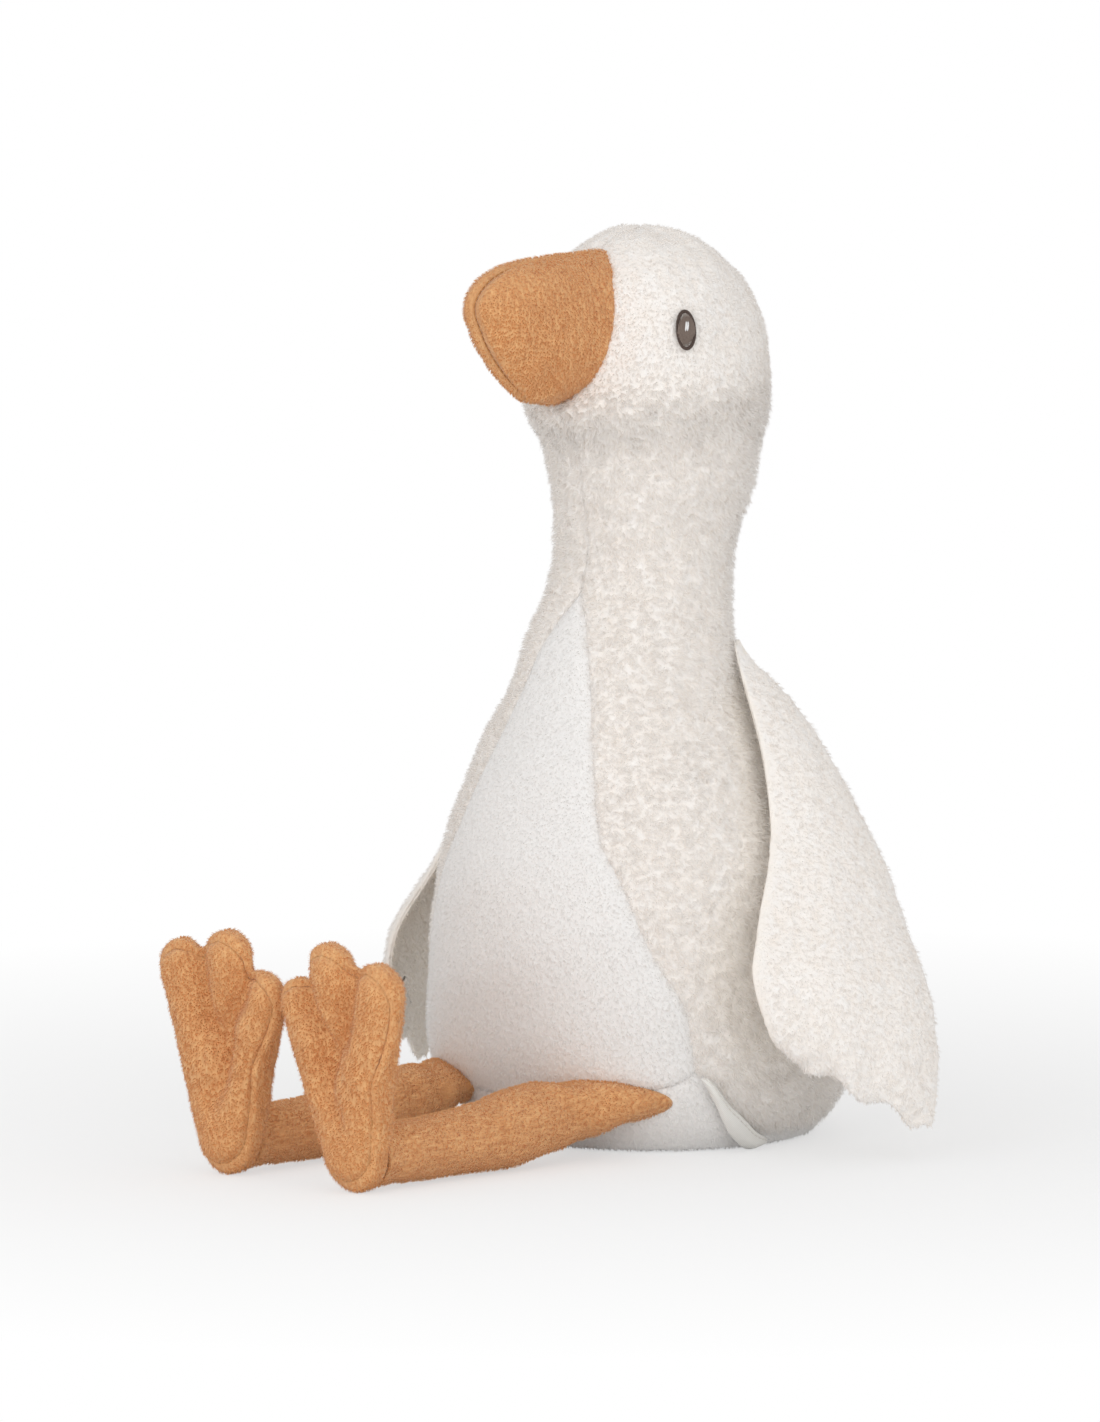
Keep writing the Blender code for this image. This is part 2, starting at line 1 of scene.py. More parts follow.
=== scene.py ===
"""Dresses the plush goose: piled cloth, velour, embroidery and the bare side label.

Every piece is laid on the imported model's own skins, in metres, with +Z up and the goose looking along -Y.
Azimuths are degrees round the body from the front towards the goose's left, which is +X.
"""
from collections import namedtuple
from contextlib import contextmanager
from functools import partial
from math import cos, pi, radians, sin, sqrt

import bmesh
import bpy
import numpy as np
from bpy.props import FloatProperty, FloatVectorProperty, IntProperty, PointerProperty
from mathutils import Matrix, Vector, noise


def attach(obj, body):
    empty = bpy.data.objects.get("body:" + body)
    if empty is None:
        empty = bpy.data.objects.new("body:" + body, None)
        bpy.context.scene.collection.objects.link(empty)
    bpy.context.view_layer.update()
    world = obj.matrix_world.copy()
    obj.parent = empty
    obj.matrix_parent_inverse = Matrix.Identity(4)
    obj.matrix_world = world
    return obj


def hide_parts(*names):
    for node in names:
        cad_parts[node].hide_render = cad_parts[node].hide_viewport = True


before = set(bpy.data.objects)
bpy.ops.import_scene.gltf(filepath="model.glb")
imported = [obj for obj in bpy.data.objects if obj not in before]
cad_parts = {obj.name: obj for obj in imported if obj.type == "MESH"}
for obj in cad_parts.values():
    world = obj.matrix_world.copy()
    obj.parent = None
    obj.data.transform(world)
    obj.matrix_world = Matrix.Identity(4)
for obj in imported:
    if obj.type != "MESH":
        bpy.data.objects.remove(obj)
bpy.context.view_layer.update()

bl_info = {
    "name": "Plush goose",
    "version": (1, 0, 0),
    "blender": (4, 5, 0),
    "location": "View3D > Sidebar > Plush goose",
    "description": "Makes the cloth, pile, thread and stage of a seated plush goose",
    "category": "Add Mesh",
}

# The body's round sections from the seat up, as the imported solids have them
Station = namedtuple("Station", "height radius back")
HEIGHT = 0.2785
SEAT_RADIUS = 0.050
SEAT_BACK = 0.005
BELLY = Station(0.049, 0.066, 0.001)
WAIST = Station(0.078, 0.063, -0.0005)
CHEST = Station(0.111, 0.0519, -0.002)
SHOULDER = Station(0.146, 0.0348, -0.0045)
NECK = Station(0.176, 0.0287, 0.002)
NAPE = Station(0.205, 0.0335, 0.005)
HEAD = Station(0.231, 0.0369, 0.005)
STATIONS = (BELLY, WAIST, CHEST, SHOULDER, NECK, NAPE, HEAD)
BOTTOM_BULGE = 3.0
CROWN_BULGE = 2.2

# Seams of the body, as (azimuth, height)
SIDE_CORNER = (57.7, 0.025)
SEAT_SEAM = ((0, 0.016), (30, 0.019), (50, 0.0215), SIDE_CORNER, (68, 0.0115), (79, 0.004), (92, 0.0025),
             (180, 0.0025))
BELLY_SEAM = (SIDE_CORNER, (56, 0.043), (47, 0.0625), (38, 0.086), (31.7, 0.098), (27, 0.1235),
              (21, 0.147), (13.4, 0.158), (0, 0.169))
BACK_SEAM = ((125, 0.0), (118, 0.130), (118, 0.176), (122, 0.231), (130, 0.262), (150, 0.2745))
NOTCH_HEIGHT = 0.2775

# How far each pile's backing lies under its tips, and how thick the backing of the finer pieces is
LONG_PILE_DEPTH = 0.0023
SHORT_PILE_DEPTH = 0.0013
NAP_DEPTH = 0.0007
FINE_CLOTH = 0.0006
FOOT_CLOTH = 0.0005

# How far panels are tucked under their neighbours, and the share of the seat that lies flat
PANEL_TUCK = 0.001
BELLY_TUCK = 0.0015
SEAT_FLAT_SHARE = 0.4

# Creases and seams of the legs and feet, the label's form and the two threads of the glint
LEG_CREASES = 0.0005
ANKLE_CREASE = 0.0006
LEG_SEAM_DEPTH = 0.0010
LEG_SEAM_REACH = 0.0012
TOE_FLARE_HEIGHT = 0.054
FOOT_WAIST_HEIGHT = 0.034
FOOT_SEAM_RUN = 0.022
FOOT_GROOVE = 0.0011
GROOVE_REACH = 0.0016
FOOT_PUCKER = 0.0002
PUCKER_REACH = 0.004
LABEL_ROUNDNESS = 0.6
LABEL_SHARE_ABOVE = 0.45
LABEL_BOW = 0.0011
LABEL_LIFT = 0.0010
GLINT_THREADS = ((-0.00028, 0.0010), (0.00028, 0.0011))

# Heights between which the pile gets shorter, its curls end and the head's smooth pile starts
PILE_WORN = (0.212, 0.243)
CURLS_END = (0.212, 0.246)
SMOOTH_STARTS = (0.208, 0.242)

# The pile that flares out under the chin
CHIN_HEIGHT = 0.2235
CHIN_FLARE = 0.0058
CHIN_TALL = 0.008
CHIN_WIDE = 56

# The wadding has sunk a little towards the goose's right
SLUMP = 0.003
SLUMP_HEIGHT = 0.024
SLUMP_AZIMUTH = -50
SLUMP_TALL = 0.014
SLUMP_WIDE = 24
SLOW_UNEVENNESS = 0.0005
FINE_UNEVENNESS = 0.0004

# Beak
BEAK_BASE_HEIGHT = 0.2502
BEAK_BASE_HALF_WIDTH = 0.0146
BEAK_BASE_HALF_HEIGHT = 0.0222
BEAK_LENGTH = 0.0462
BEAK_PROFILE = ((0, 0), (0.50, 0.01), (0.80, 0.035), (0.94, 0.11), (1, 0.25), (0.88, 0.49), (0.75, 0.68),
                (0.56, 0.89), (0.40, 1.01), (0.15, 1.05), (0, 1))
BEAK_BULGE = 2.4

# Eyes
EYE_AZIMUTH = 62.2
EYE_HEIGHT = 0.2493
EYE_WIDTH = 0.0065
EYE_TALL = 0.0122
EYE_TILT = -0.14
GLINT_WIDTH = 0.0018
GLINT_TALL = 0.0030

# Wings, as rows of (height, azimuth, clearance) at the front edge and at the rear edge
WING_ROWS = (((0.152, 119, -0.0015), (0.152, 123, -0.0008)),
             ((0.134, 102, 0.0008), (0.133, 121, 0.0065)),
             ((0.117, 92, 0.0020), (0.114, 116, 0.0100)),
             ((0.098, 86, 0.0022), (0.091, 112.6, 0.0150)),
             ((0.078, 76.6, 0.0050), (0.067, 107.5, 0.0230)),
             ((0.056, 69, 0.0130), (0.043, 102, 0.0350)),
             ((0.043, 71.0, 0.0165), (0.022, 99, 0.0405)),
             ((0.036, 76.0, 0.0180), (0.0105, 96.8, 0.0455)))
WING_OUTER = 0.0032
WING_LINING = 0.0024
WING_BELLY = 0.002
WING_SWELL = 0.0018
WING_SCALLOPS = 3
WING_SCALLOP_DEPTH = 0.003

# Legs
LEG_SPACING = 0.054
LEG_RADIUS = 0.0098
LEG_ROOT_OUTSET = 0.0055
LEG_ROOT_HEIGHT = 0.018
LEG_ROOT_HALF_WIDTH = 0.0155
LEG_ROOT_HALF_HEIGHT = 0.0065
LEG_ROUND_BY = 0.25
LEG_DOWN_BY = 0.45
LEG_REACH = 0.150
LEG_PLUMPNESS = 0.0014
ANKLE_HEIGHT = 0.0105

# Feet, whose toes give the distance towards the outside, the height and the radius of each tip
HEEL_RADIUS = 0.011
TOES = ((-0.0150, 0.0560, 0.0084), (-0.0010, 0.0675, 0.0088), (0.0180, 0.0630, 0.0088))
FOOT_FLATNESS = 0.8
FOOT_CENTRE_HEIGHT = 0.037
WEB_HALF_THICKNESS = 0.0036
WEB_RISE = 0.005
FOOT_LEAN = 0.09
FOOT_ROLL = 0.06
# Valleys drawn in between the toes: each line's points, its width, and how deep it is at its start and end
FOOT_VALLEYS = (
    (((-0.0125, 0.068), (-0.0090, 0.056), (-0.0035, 0.0474), (-0.0025, 0.041)), 0.0036, 1.0, 0.95),
    (((0.0105, 0.072), (0.0062, 0.056), (0.0034, 0.0474), (-0.0025, 0.041)), 0.0036, 1.0, 0.95),
    (((-0.0025, 0.041), (-0.0030, 0.031), (0.0010, 0.0224)), 0.0034, 0.95, 0.2))
VALLEY_HALF_THICKNESS = 0.0008
SEAM_FORWARD = 0.22
TOE_FLARE = 0.0009
FOOT_WAIST = 0.0011
ANKLE_FOLD = 0.0022
ANKLE_FOLD_HEIGHT = 0.0235

# Label
LABEL_FROM = 58.5
LABEL_TO = 84.0

# Camera
VIEW_AZIMUTH = 44.0
VIEW_ELEVATION = 7.5
VIEW_DISTANCE = 8.0
VIEW_LENS = 664.0
VIEW_RISE = 0.128
VIEW_SHIFT = -0.0275

# Lamps, as places from the goose's middle (to the right, towards the camera, up) and widths
MIDDLE_HEIGHT = 0.13
KEY_PLACE = (0.6, 1.1, 0.6)
KEY_WIDTH = 1.5
FILL_PLACE = (-0.75, 1.3, 0.3)
FILL_WIDTH = 1.0

# Settings that a user would change


def length_setting(name, description, default, precision=4):
    return FloatProperty(name=name, description=description, default=default, unit="LENGTH",
                         precision=precision)


def amount_setting(name, description, default, subtype="NONE"):
    return FloatProperty(name=name, description=description, default=default, min=0, subtype=subtype)


def colour_setting(name, description, *default):
    return FloatVectorProperty(name=name, description=description, subtype="COLOR", size=3, min=0, max=1,
                               default=default)


class GoosePile(bpy.types.PropertyGroup):
    long_length: length_setting("Long pile", "Length of a curl on the flanks and back", 0.0034)
    long_density: amount_setting("Long pile density", "Locks on a square metre", 720000)
    short_length: length_setting("Short pile", "Length of a fibre on the belly and seat", 0.0012)
    short_density: amount_setting("Short pile density", "Locks on a square metre", 1050000)
    nap_length: length_setting("Velour nap", "Length of a fibre on beak, legs and feet", 0.0013)
    nap_density: amount_setting("Velour density", "Locks on a square metre", 1900000)
    seed: IntProperty(name="Seed", description="Fixes where each lock grows", default=7)


class GooseSewing(bpy.types.PropertyGroup):
    seam_depth: length_setting("Seam depth", "How far cloth is drawn in at a seam", 0.0016)
    seam_reach: length_setting("Seam reach", "How far from a seam the cloth starts to dip", 0.0035)
    cloth_thickness: length_setting("Cloth", "Thickness of the woven backing", 0.0008)
    thread_width: length_setting("Thread", "Width of the embroidery thread", 0.00042, 5)
    stitch_length: length_setting("Stitch", "Length of a stitch along the seams", 0.0022)
    label_width: length_setting("Label width", "Widest part of the side label's tape", 0.0095)
    label_thickness: length_setting("Label thickness", "Thickness of the tape", 0.0005, 5)


class GooseColours(bpy.types.PropertyGroup):
    pile: colour_setting("Long pile", "Tips of the off-white curls", 0.945, 0.925, 0.905)
    pile_root: colour_setting("Pile roots", "Shaded foot of the pile", 0.905, 0.85, 0.795)
    belly: colour_setting("Short pile", "Smooth pile of belly and seat", 0.90, 0.885, 0.87)
    lining: colour_setting("Lining", "Warm lining of the wings", 0.95, 0.895, 0.825)
    velour: colour_setting("Velour", "Tips of the caramel nap", 0.85, 0.50, 0.225)
    # The foot of the velour's nap is darker as painted shade
    velour_root: colour_setting("Velour roots", "Foot of the caramel nap", 0.60, 0.28, 0.11)
    eye: colour_setting("Eye thread", "Grey-brown embroidery thread", 0.20, 0.155, 0.13)
    eye_border: colour_setting("Eye border", "Darker thread round the eye", 0.085, 0.06, 0.05)
    seam_thread: colour_setting("Seam thread", "Caramel thread sunk in the velour's seams", 0.56, 0.27, 0.10)
    label_thread: colour_setting("Label thread", "Thread that holds the label", 0.80, 0.77, 0.72)
    glint: colour_setting("Glint thread", "White embroidery thread", 0.86, 0.85, 0.84)
    tape: colour_setting("Label tape", "Plain cotton tape", 0.92, 0.905, 0.865)


class GooseStage(bpy.types.PropertyGroup):
    floor_size: length_setting("Floor", "Side of the floor", 12.0)
    sky_light: amount_setting("Sky light", "Strength of the light from all round", 0.66)
    key_power: amount_setting("Key lamp", "Power of the large soft lamp", 4.1, "POWER")
    fill_power: amount_setting("Fill lamp", "Power of the lamp beside the camera", 5.6, "POWER")


# Curves and sections, worked on whole arrays


def lerp(start, end, share):
    return start + (end - start) * share


def smooth_curve(points, flat_ends=False):
    """Monotone cubic curve through (x, y) points, level at its ends where flat_ends says so."""
    xs, ys = np.array(points, dtype=float).T
    secants = np.diff(ys) / np.diff(xs)
    same_way = secants[:-1] * secants[1:] > 0
    total = np.where(same_way, secants[:-1] + secants[1:], 1.0)
    inner = np.where(same_way, 2 * secants[:-1] * secants[1:] / total, 0.0)
    first, last = (0.0, 0.0) if flat_ends else (secants[0], secants[-1])
    slopes = np.concatenate(([first], inner, [last]))

    def value(x):
        x = np.clip(x, xs[0], xs[-1])
        i = np.clip(np.searchsorted(xs, x, side="right"), 1, len(xs) - 1) - 1
        width = xs[i + 1] - xs[i]
        t = (x - xs[i]) / width
        rise = ys[i + 1] - ys[i]
        cubic = (slopes[i] + slopes[i + 1]) * width - 2 * rise
        square = 3 * rise - (2 * slopes[i] + slopes[i + 1]) * width
        return ys[i] + t * (slopes[i] * width + t * (square + t * cubic))

    return value


def superellipse(share, bulge):
    """Height of a unit superellipse over points at these shares of its half width."""
    return np.maximum(1 - np.clip(share, 0.0, 1.0) ** bulge, 0.0) ** (1 / bulge)


def points_of(x, y, z):
    return np.stack(np.broadcast_arrays(x, y, z), axis=-1)


def mirror_x(points):
    return points * (-1, 1, 1)


def unit(vectors):
    return vectors / np.maximum(np.linalg.norm(vectors, axis=-1, keepdims=True), 1e-12)


def smoothstep(low, high, value):
    t = np.clip((value - low) / (high - low), 0.0, 1.0)
    return t * t * (3 - 2 * t)


def hump(offset, reach):
    """One in the middle, falling away to nothing over about twice the reach."""
    return np.exp(-(offset / reach) ** 2)


# The body's skin

station_radius = smooth_curve([(s.height, s.radius) for s in STATIONS], flat_ends=True)
station_back = smooth_curve([(0.0, SEAT_BACK)] + [(s.height, s.back) for s in STATIONS] + [(HEIGHT, 0.0)])
BOTTOM_DEPTH = BELLY.height / superellipse(SEAT_RADIUS / BELLY.radius, BOTTOM_BULGE)


def ring_radius(height):
    bottom = BELLY.radius * superellipse((BELLY.height - height) / BOTTOM_DEPTH, BOTTOM_BULGE)
    crown = HEAD.radius * superellipse((height - HEAD.height) / (HEIGHT - HEAD.height), CROWN_BULGE)
    return np.where(height < BELLY.height, bottom, np.where(height > HEAD.height, crown,
                                                            station_radius(height)))


def skin_point(azimuth, height, depth=0.0):
    """Points on the body at azimuths and heights, or this deep under the skin."""
    step = 1e-5
    turn = np.radians(azimuth)
    low, high = np.clip(height - step, 0.0, HEIGHT), np.clip(height + step, 0.0, HEIGHT)
    flare = (ring_radius(high) - ring_radius(low)) / (high - low)
    drift = (station_back(high) - station_back(low)) / (high - low)
    radius = ring_radius(height)
    outward = unit(points_of(np.sin(turn), -np.cos(turn), drift * np.cos(turn) - flare))
    outward = np.where((radius < step)[..., None], np.array((0.0, 0.0, 1.0)), outward)
    skin = points_of(np.sin(turn) * radius, station_back(height) - np.cos(turn) * radius, height)
    return skin - outward * np.asarray(depth)[..., None]


CLIMB_HEIGHTS = HEIGHT * np.sin(0.5 * pi * np.arange(801) / 800)
CLIMBS = np.concatenate(([0.0], np.cumsum(np.hypot(np.diff(CLIMB_HEIGHTS),
                                                   np.diff(ring_radius(CLIMB_HEIGHTS))))))


def climb_to(height):
    return np.interp(height, CLIMB_HEIGHTS, CLIMBS)


def stuffed_swell(azimuth, height):
    """How far the wadding pushes the skin out or lets it in: a flare under the chin and slow unevenness."""
    round_from_front = np.abs((np.asarray(azimuth) + 180) % 360 - 180)
    chin = CHIN_FLARE * hump(height - CHIN_HEIGHT, CHIN_TALL) * hump(round_from_front, CHIN_WIDE)
    turn = np.radians(azimuth)
    uneven = SLOW_UNEVENNESS * np.sin(3 * turn + 38 * height) * np.sin(61 * height + 1.3)
    uneven += FINE_UNEVENNESS * np.sin(5 * turn - 90 * height) * np.sin(130 * height)
    from_slump = (azimuth - SLUMP_AZIMUTH + 180) % 360 - 180
    slump = SLUMP * hump(height - SLUMP_HEIGHT, SLUMP_TALL) * hump(from_slump, SLUMP_WIDE)
    return chin + slump + uneven * smoothstep(0.004, 0.03, height)


def body_point(azimuth, climb, depth=0.0, hand=1):
    """Points this far up the skin from the seat's edge. Below zero they lie on the flat seat.

    The hand is -1 for a piece of the right side that is laid out on the left and mirrored.
    """
    height = np.interp(climb, CLIMBS, CLIMB_HEIGHTS)
    upper = skin_point(azimuth, height, depth - stuffed_swell(hand * azimuth, height))
    turn = np.radians(azimuth)
    radius = np.maximum(SEAT_RADIUS + climb, 0.0)
    seat = points_of(np.sin(turn) * radius, station_back(0.0) - np.cos(turn) * radius, depth)
    return np.where((np.asarray(climb) < 0)[..., None], seat, upper)


seat_seam_height = smooth_curve(SEAT_SEAM)
belly_seam_azimuth = smooth_curve([(height, azimuth) for azimuth, height in BELLY_SEAM])
back_seam_azimuth = smooth_curve([(height, azimuth)
                                  for azimuth, height in BACK_SEAM + ((180, NOTCH_HEIGHT),)])


def seam_dip(distance):
    """How far cloth dips at this distance from the nearest seam."""
    sewing = bpy.context.scene.goose_sewing
    return sewing.seam_depth * hump(distance, sewing.seam_reach)


def panel_place(front_edge, rear_edge, top_height, pile, side_dip, low_dip, tucks=(0.0, 0.0), hand=1):
    """Panel between two seams given as azimuth by height, whose woven backing lies a pile's depth down.

    Its front and rear edges may be tucked in under the neighbouring panel, whose pile then covers the seam.
    """
    top = climb_to(top_height)

    def place(u, v, depth=0.0):
        height = HEAD.height * v
        for _ in range(30):
            front, rear = front_edge(height), rear_edge(height)
            degree_lengths = np.radians(np.maximum(ring_radius(height), 0.01))
            front, rear = front - tucks[0] / degree_lengths, rear + tucks[1] / degree_lengths
            azimuth = lerp(front, rear, u)
            seam = climb_to(seat_seam_height(np.where(azimuth <= 180, azimuth, 360 - azimuth)))
            climb = lerp(seam, top, v)
            height = np.interp(climb, CLIMBS, CLIMB_HEIGHTS)
        width = np.radians(np.abs(rear - front)) * ring_radius(height)
        dip = np.maximum(side_dip * seam_dip(np.minimum(u, 1 - u) * width),
                         low_dip * seam_dip(v * (top - seam)))
        return body_point(azimuth, climb, depth + pile * pile_by_height(height) + dip, hand)

    return place


def pile_by_height(height):
    """The pile is worn short and smooth on the head and full from the neck down."""
    return lerp(1.0, 0.5, smoothstep(*PILE_WORN, height))


# Meshes


def link(obj):
    bpy.context.scene.collection.objects.link(obj)
    return obj


@contextmanager
def edited(data):
    """A mesh opened for editing, and written back at the end."""
    mesh = bmesh.new()
    mesh.from_mesh(data)
    yield mesh
    mesh.to_mesh(data)
    mesh.free()


# What a cloth's points carry unless a piece says otherwise: shares of full pile length and of full density,
# the share of smooth pile that grows besides, and warmth, which is painted warm shade in the crease beside
# each wing's front edge and the lining's own colour where it rolls over a wing's front edge
MARKS = {"pile": 1.0, "cover": 1.0, "smooth": 0.0, "warm": 0.0}


def skin_object(name, place, columns, rows, mirrored=False, **marks):
    """Object whose faces lie on place(across, up) and look outwards, with doubled points merged."""
    u, v = np.meshgrid(np.linspace(0, 1, columns + 1), np.linspace(0, 1, rows + 1))
    points = place(u, v)
    if mirrored:
        points = mirror_x(points)
    here = (np.arange(rows)[:, None] * (columns + 1) + np.arange(columns)).ravel()
    faces = np.stack([here, here + 1, here + columns + 2, here + columns + 1], axis=1)
    middle_u, middle_v = np.array([[0.37, 0.37]]), np.array([[0.51, 0.52]])
    outward = (place(middle_u, middle_v) - place(middle_u, middle_v, np.array([[0.0005, 0.0005]])))[0, 0]
    if mirrored:
        outward = mirror_x(outward)
    row, column = int(0.515 * rows), int(0.37 * columns)
    corner = points[row, column]
    normal = np.cross(points[row, column + 1] - corner, points[row + 1, column] - corner)
    if np.dot(normal, outward) < 0:
        faces = faces[:, ::-1]
    data = bpy.data.meshes.new(name)
    data.from_pydata(points.reshape(-1, 3).tolist(), [], faces.tolist())
    for mark, plain in MARKS.items():
        values = marks[mark](u, v, points) if mark in marks else np.full(u.shape, plain)
        data.attributes.new(mark, "FLOAT", "POINT").data.foreach_set("value", np.ravel(values))
    with edited(data) as mesh:
        bmesh.ops.remove_doubles(mesh, verts=mesh.verts, dist=2e-6)
        bmesh.ops.dissolve_degenerate(mesh, edges=mesh.edges, dist=1e-7)
    data.shade_smooth()
    return link(bpy.data.objects.new(name, data))


def thicken(obj, thickness):
    """Gives a cloth skin its woven thickness, inwards."""
    solidify = obj.modifiers.new("Thickness", "SOLIDIFY")
    solidify.thickness = thickness
    solidify.offset = -1
    return obj


def roughen(obj, height, size, detail=2):
    """Moves points along their normals by fractal noise, and leaves the sewn edges where they meet."""
    seed = Vector((3.1, 1.7, 5.3))
    with edited(obj.data) as mesh:
        mesh.normal_update()
        inner = [vert for vert in mesh.verts if not vert.is_boundary]
        moves = [vert.normal * height * noise.fractal(vert.co / size + seed, 1.0, 2.0, detail)
                 for vert in inner]
        for vert, move in zip(inner, moves):
            vert.co += move
    obj.data.update()


def finish_piece(obj, material, slot, *nodes, fill=None):
    """Dresses a piece, hides the solids it stands for, and lets it ride with the goose."""
    obj.data.materials.clear()
    obj.data.materials.append(material)
    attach(obj, "root")
    if nodes:
        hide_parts(*nodes)
    return obj


# Materials


def add_node(tree, kind, settings=None, sockets=None):
    """Adds a node with its settings, and with each socket given as a value, a socket or a signal."""
    node = tree.nodes.new(kind)
    for setting, value in (settings or {}).items():
        setattr(node, setting, value)
    for name, value in (sockets or {}).items():
        value = getattr(value, "socket", value)
        if isinstance(value, bpy.types.NodeSocket):
            tree.links.new(value, node.inputs[name])
        else:
            node.inputs[name].default_value = value
    return node


class Signal:
    """A socket's value, so that shader maths can be written as sums."""

    def __init__(self, tree, socket):
        self.tree = tree
        self.socket = socket

    def maths(self, operation, *terms):
        node = self.tree.nodes.new("ShaderNodeMath")
        node.operation = operation
        for socket, term in zip(node.inputs, terms):
            if isinstance(term, Signal):
                self.tree.links.new(term.socket, socket)
            else:
                socket.default_value = term
        return Signal(self.tree, node.outputs[0])

    def __add__(self, other):
        return self.maths("ADD", self, other)

    def __radd__(self, other):
        return self.maths("ADD", other, self)

    def __sub__(self, other):
        return self.maths("SUBTRACT", self, other)

    def __rsub__(self, other):
        return self.maths("SUBTRACT", other, self)

    def __mul__(self, other):
        return self.maths("MULTIPLY", self, other)

    def __rmul__(self, other):
        return self.maths("MULTIPLY", other, self)

    def __truediv__(self, other):
        return self.maths("DIVIDE", self, other)

    def __rtruediv__(self, other):
        return self.maths("DIVIDE", other, self)

    def larger(self, other):
        return self.maths("MAXIMUM", self, other)

    def sine(self):
        return self.maths("SINE", self)

    def clamped(self):
        return self.maths("MINIMUM", self, 1.0).larger(0.0)


class Finish:
    """A material with a Principled shader, and a method that adds a node of any kind."""

    def __init__(self, name, constants):
        self.material = bpy.data.materials.new(name)
        self.material.use_nodes = True
        self.tree = self.material.node_tree
        self.shader = self.tree.nodes["Principled BSDF"]
        for socket, value in constants.items():
            self.shader.inputs[socket].default_value = value

    def node(self, kind, settings=None, sockets=None, output=0):
        return Signal(self.tree, add_node(self.tree, kind, settings, sockets).outputs[output])

    def places(self):
        return self.node("ShaderNodeTexCoord", output="Object")

    def grain(self, size, detail=2.0, stretch=None):
        """Noise whose spots are about this many metres across, drawn out where stretch says so."""
        where = self.places()
        if stretch:
            where = self.node("ShaderNodeMapping", sockets={"Vector": where, "Scale": stretch})
        return self.node("ShaderNodeTexNoise", sockets={"Vector": where, "Scale": 1 / size, "Detail": detail})

    def attribute(self, name):
        return self.node("ShaderNodeAttribute", {"attribute_name": name}, output="Fac")

    def blend(self, share, low, high):
        """Colour between two colours, each given as a colour or a signal."""
        node = self.tree.nodes.new("ShaderNodeMix")
        node.data_type = "RGBA"
        for socket, value in ((node.inputs[0], share), (node.inputs[6], low), (node.inputs[7], high)):
            if isinstance(value, Signal):
                self.tree.links.new(value.socket, socket)
            else:
                socket.default_value = value if isinstance(value, float) else (*value, 1.0)
        return Signal(self.tree, node.outputs[2])

    def feed(self, socket, signal):
        self.tree.links.new(signal.socket, self.shader.inputs[socket])

    def bump(self, height, strength, distance):
        self.feed("Normal", self.node("ShaderNodeBump", sockets={"Height": height, "Strength": strength,
                                                                 "Distance": distance}))

    def let_light_through(self, colour, share):
        """Thin fibres glow a little with the light behind them."""
        glow = self.tree.nodes.new("ShaderNodeBsdfTranslucent")
        glow.inputs["Color"].default_value = (*(channel ** 0.8 for channel in colour), 1.0)
        mix = self.tree.nodes.new("ShaderNodeMixShader")
        mix.inputs[0].default_value = share
        self.tree.links.new(self.shader.outputs[0], mix.inputs[1])
        self.tree.links.new(glow.outputs[0], mix.inputs[2])
        self.tree.links.new(mix.outputs[0], self.tree.nodes["Material Output"].inputs[0])


THROUGH_SHARE = 0.5


def shade_of(colour, share):
    return tuple(share * channel for channel in colour)


def cloth_finish(name, colour, root, warm, grain_size, stretch=None):
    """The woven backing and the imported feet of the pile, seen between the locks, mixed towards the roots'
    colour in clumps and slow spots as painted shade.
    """
    finish = Finish(name, {"Roughness": 0.95, "Sheen Weight": 0.15, "Sheen Roughness": 0.6})
    mottle = finish.grain(0.012, 3.0)
    clump = finish.grain(grain_size, 3.0, stretch)
    share = (clump * 1.6 - 0.35 + (mottle - 0.5) * 0.5).clamped()
    finish.feed("Base Color", finish.blend(finish.attribute("warm"), finish.blend(share, root, colour), warm))
    finish.bump(clump, 0.7, 0.6 * grain_size)
    return finish.material


def pile_finish(name, colour, root, warm, clump_size, stretch=None, roughness=0.9, sheen=0.2, shade=0.5):
    """The fibres: shaded at the root and in streaks between the clumps, and pale at the tip."""
    finish = Finish(name, {"Roughness": roughness, "Sheen Weight": sheen, "Sheen Roughness": 0.4})
    clump = finish.grain(clump_size, 2.0, stretch)
    rising = (finish.attribute("along") * 1.5 - 0.1 - (clump - 0.5) * shade).clamped()
    tip = finish.blend(finish.attribute("tone"), shade_of(colour, 0.96), colour)
    finish.feed("Base Color", finish.blend(finish.attribute("warm"), finish.blend(rising, root, tip), warm))
    finish.let_light_through(colour, THROUGH_SHARE)
    return finish.material


def thread_finish(name, colour):
    """Twisted embroidery thread, with a soft gloss and a fine twist that carries a painted highlight and
    painted shade.
    """
    finish = Finish(name, {"Roughness": 0.7, "Specular IOR Level": 0.2})
    twist = finish.grain(0.0004, 2.0)
    lit = tuple(min(1.25 * channel, 1) for channel in colour)
    finish.feed("Base Color", finish.blend(twist, shade_of(colour, 0.7), lit))
    finish.bump(twist, 0.5, 0.0001)
    return finish.material


def tape_finish(name, colour):
    """Plain woven tape: warp and weft threads that cross, read from the tape's own map."""
    finish = Finish(name, {"Roughness": 0.8, "Sheen Weight": 0.1})
    tape_map = finish.node("ShaderNodeUVMap", {"uv_map": "tape"})
    split = finish.tree.nodes.new("ShaderNodeSeparateXYZ")
    finish.tree.links.new(tape_map.socket, split.inputs[0])
    across, along = Signal(finish.tree, split.outputs[0]), Signal(finish.tree, split.outputs[1])
    turns = 2 * pi / 0.0006
    weave = (across * turns).sine() * (along * turns).sine() * 0.5 + 0.5
    worn = finish.grain(0.004, 3.0)
    share = (weave * 0.7 + worn * 0.4).clamped()
    finish.feed("Base Color", finish.blend(share, shade_of(colour, 0.84), colour))
    finish.bump(weave, 0.5, 0.00015)
    return finish.material


# Pile, grown with Geometry Nodes


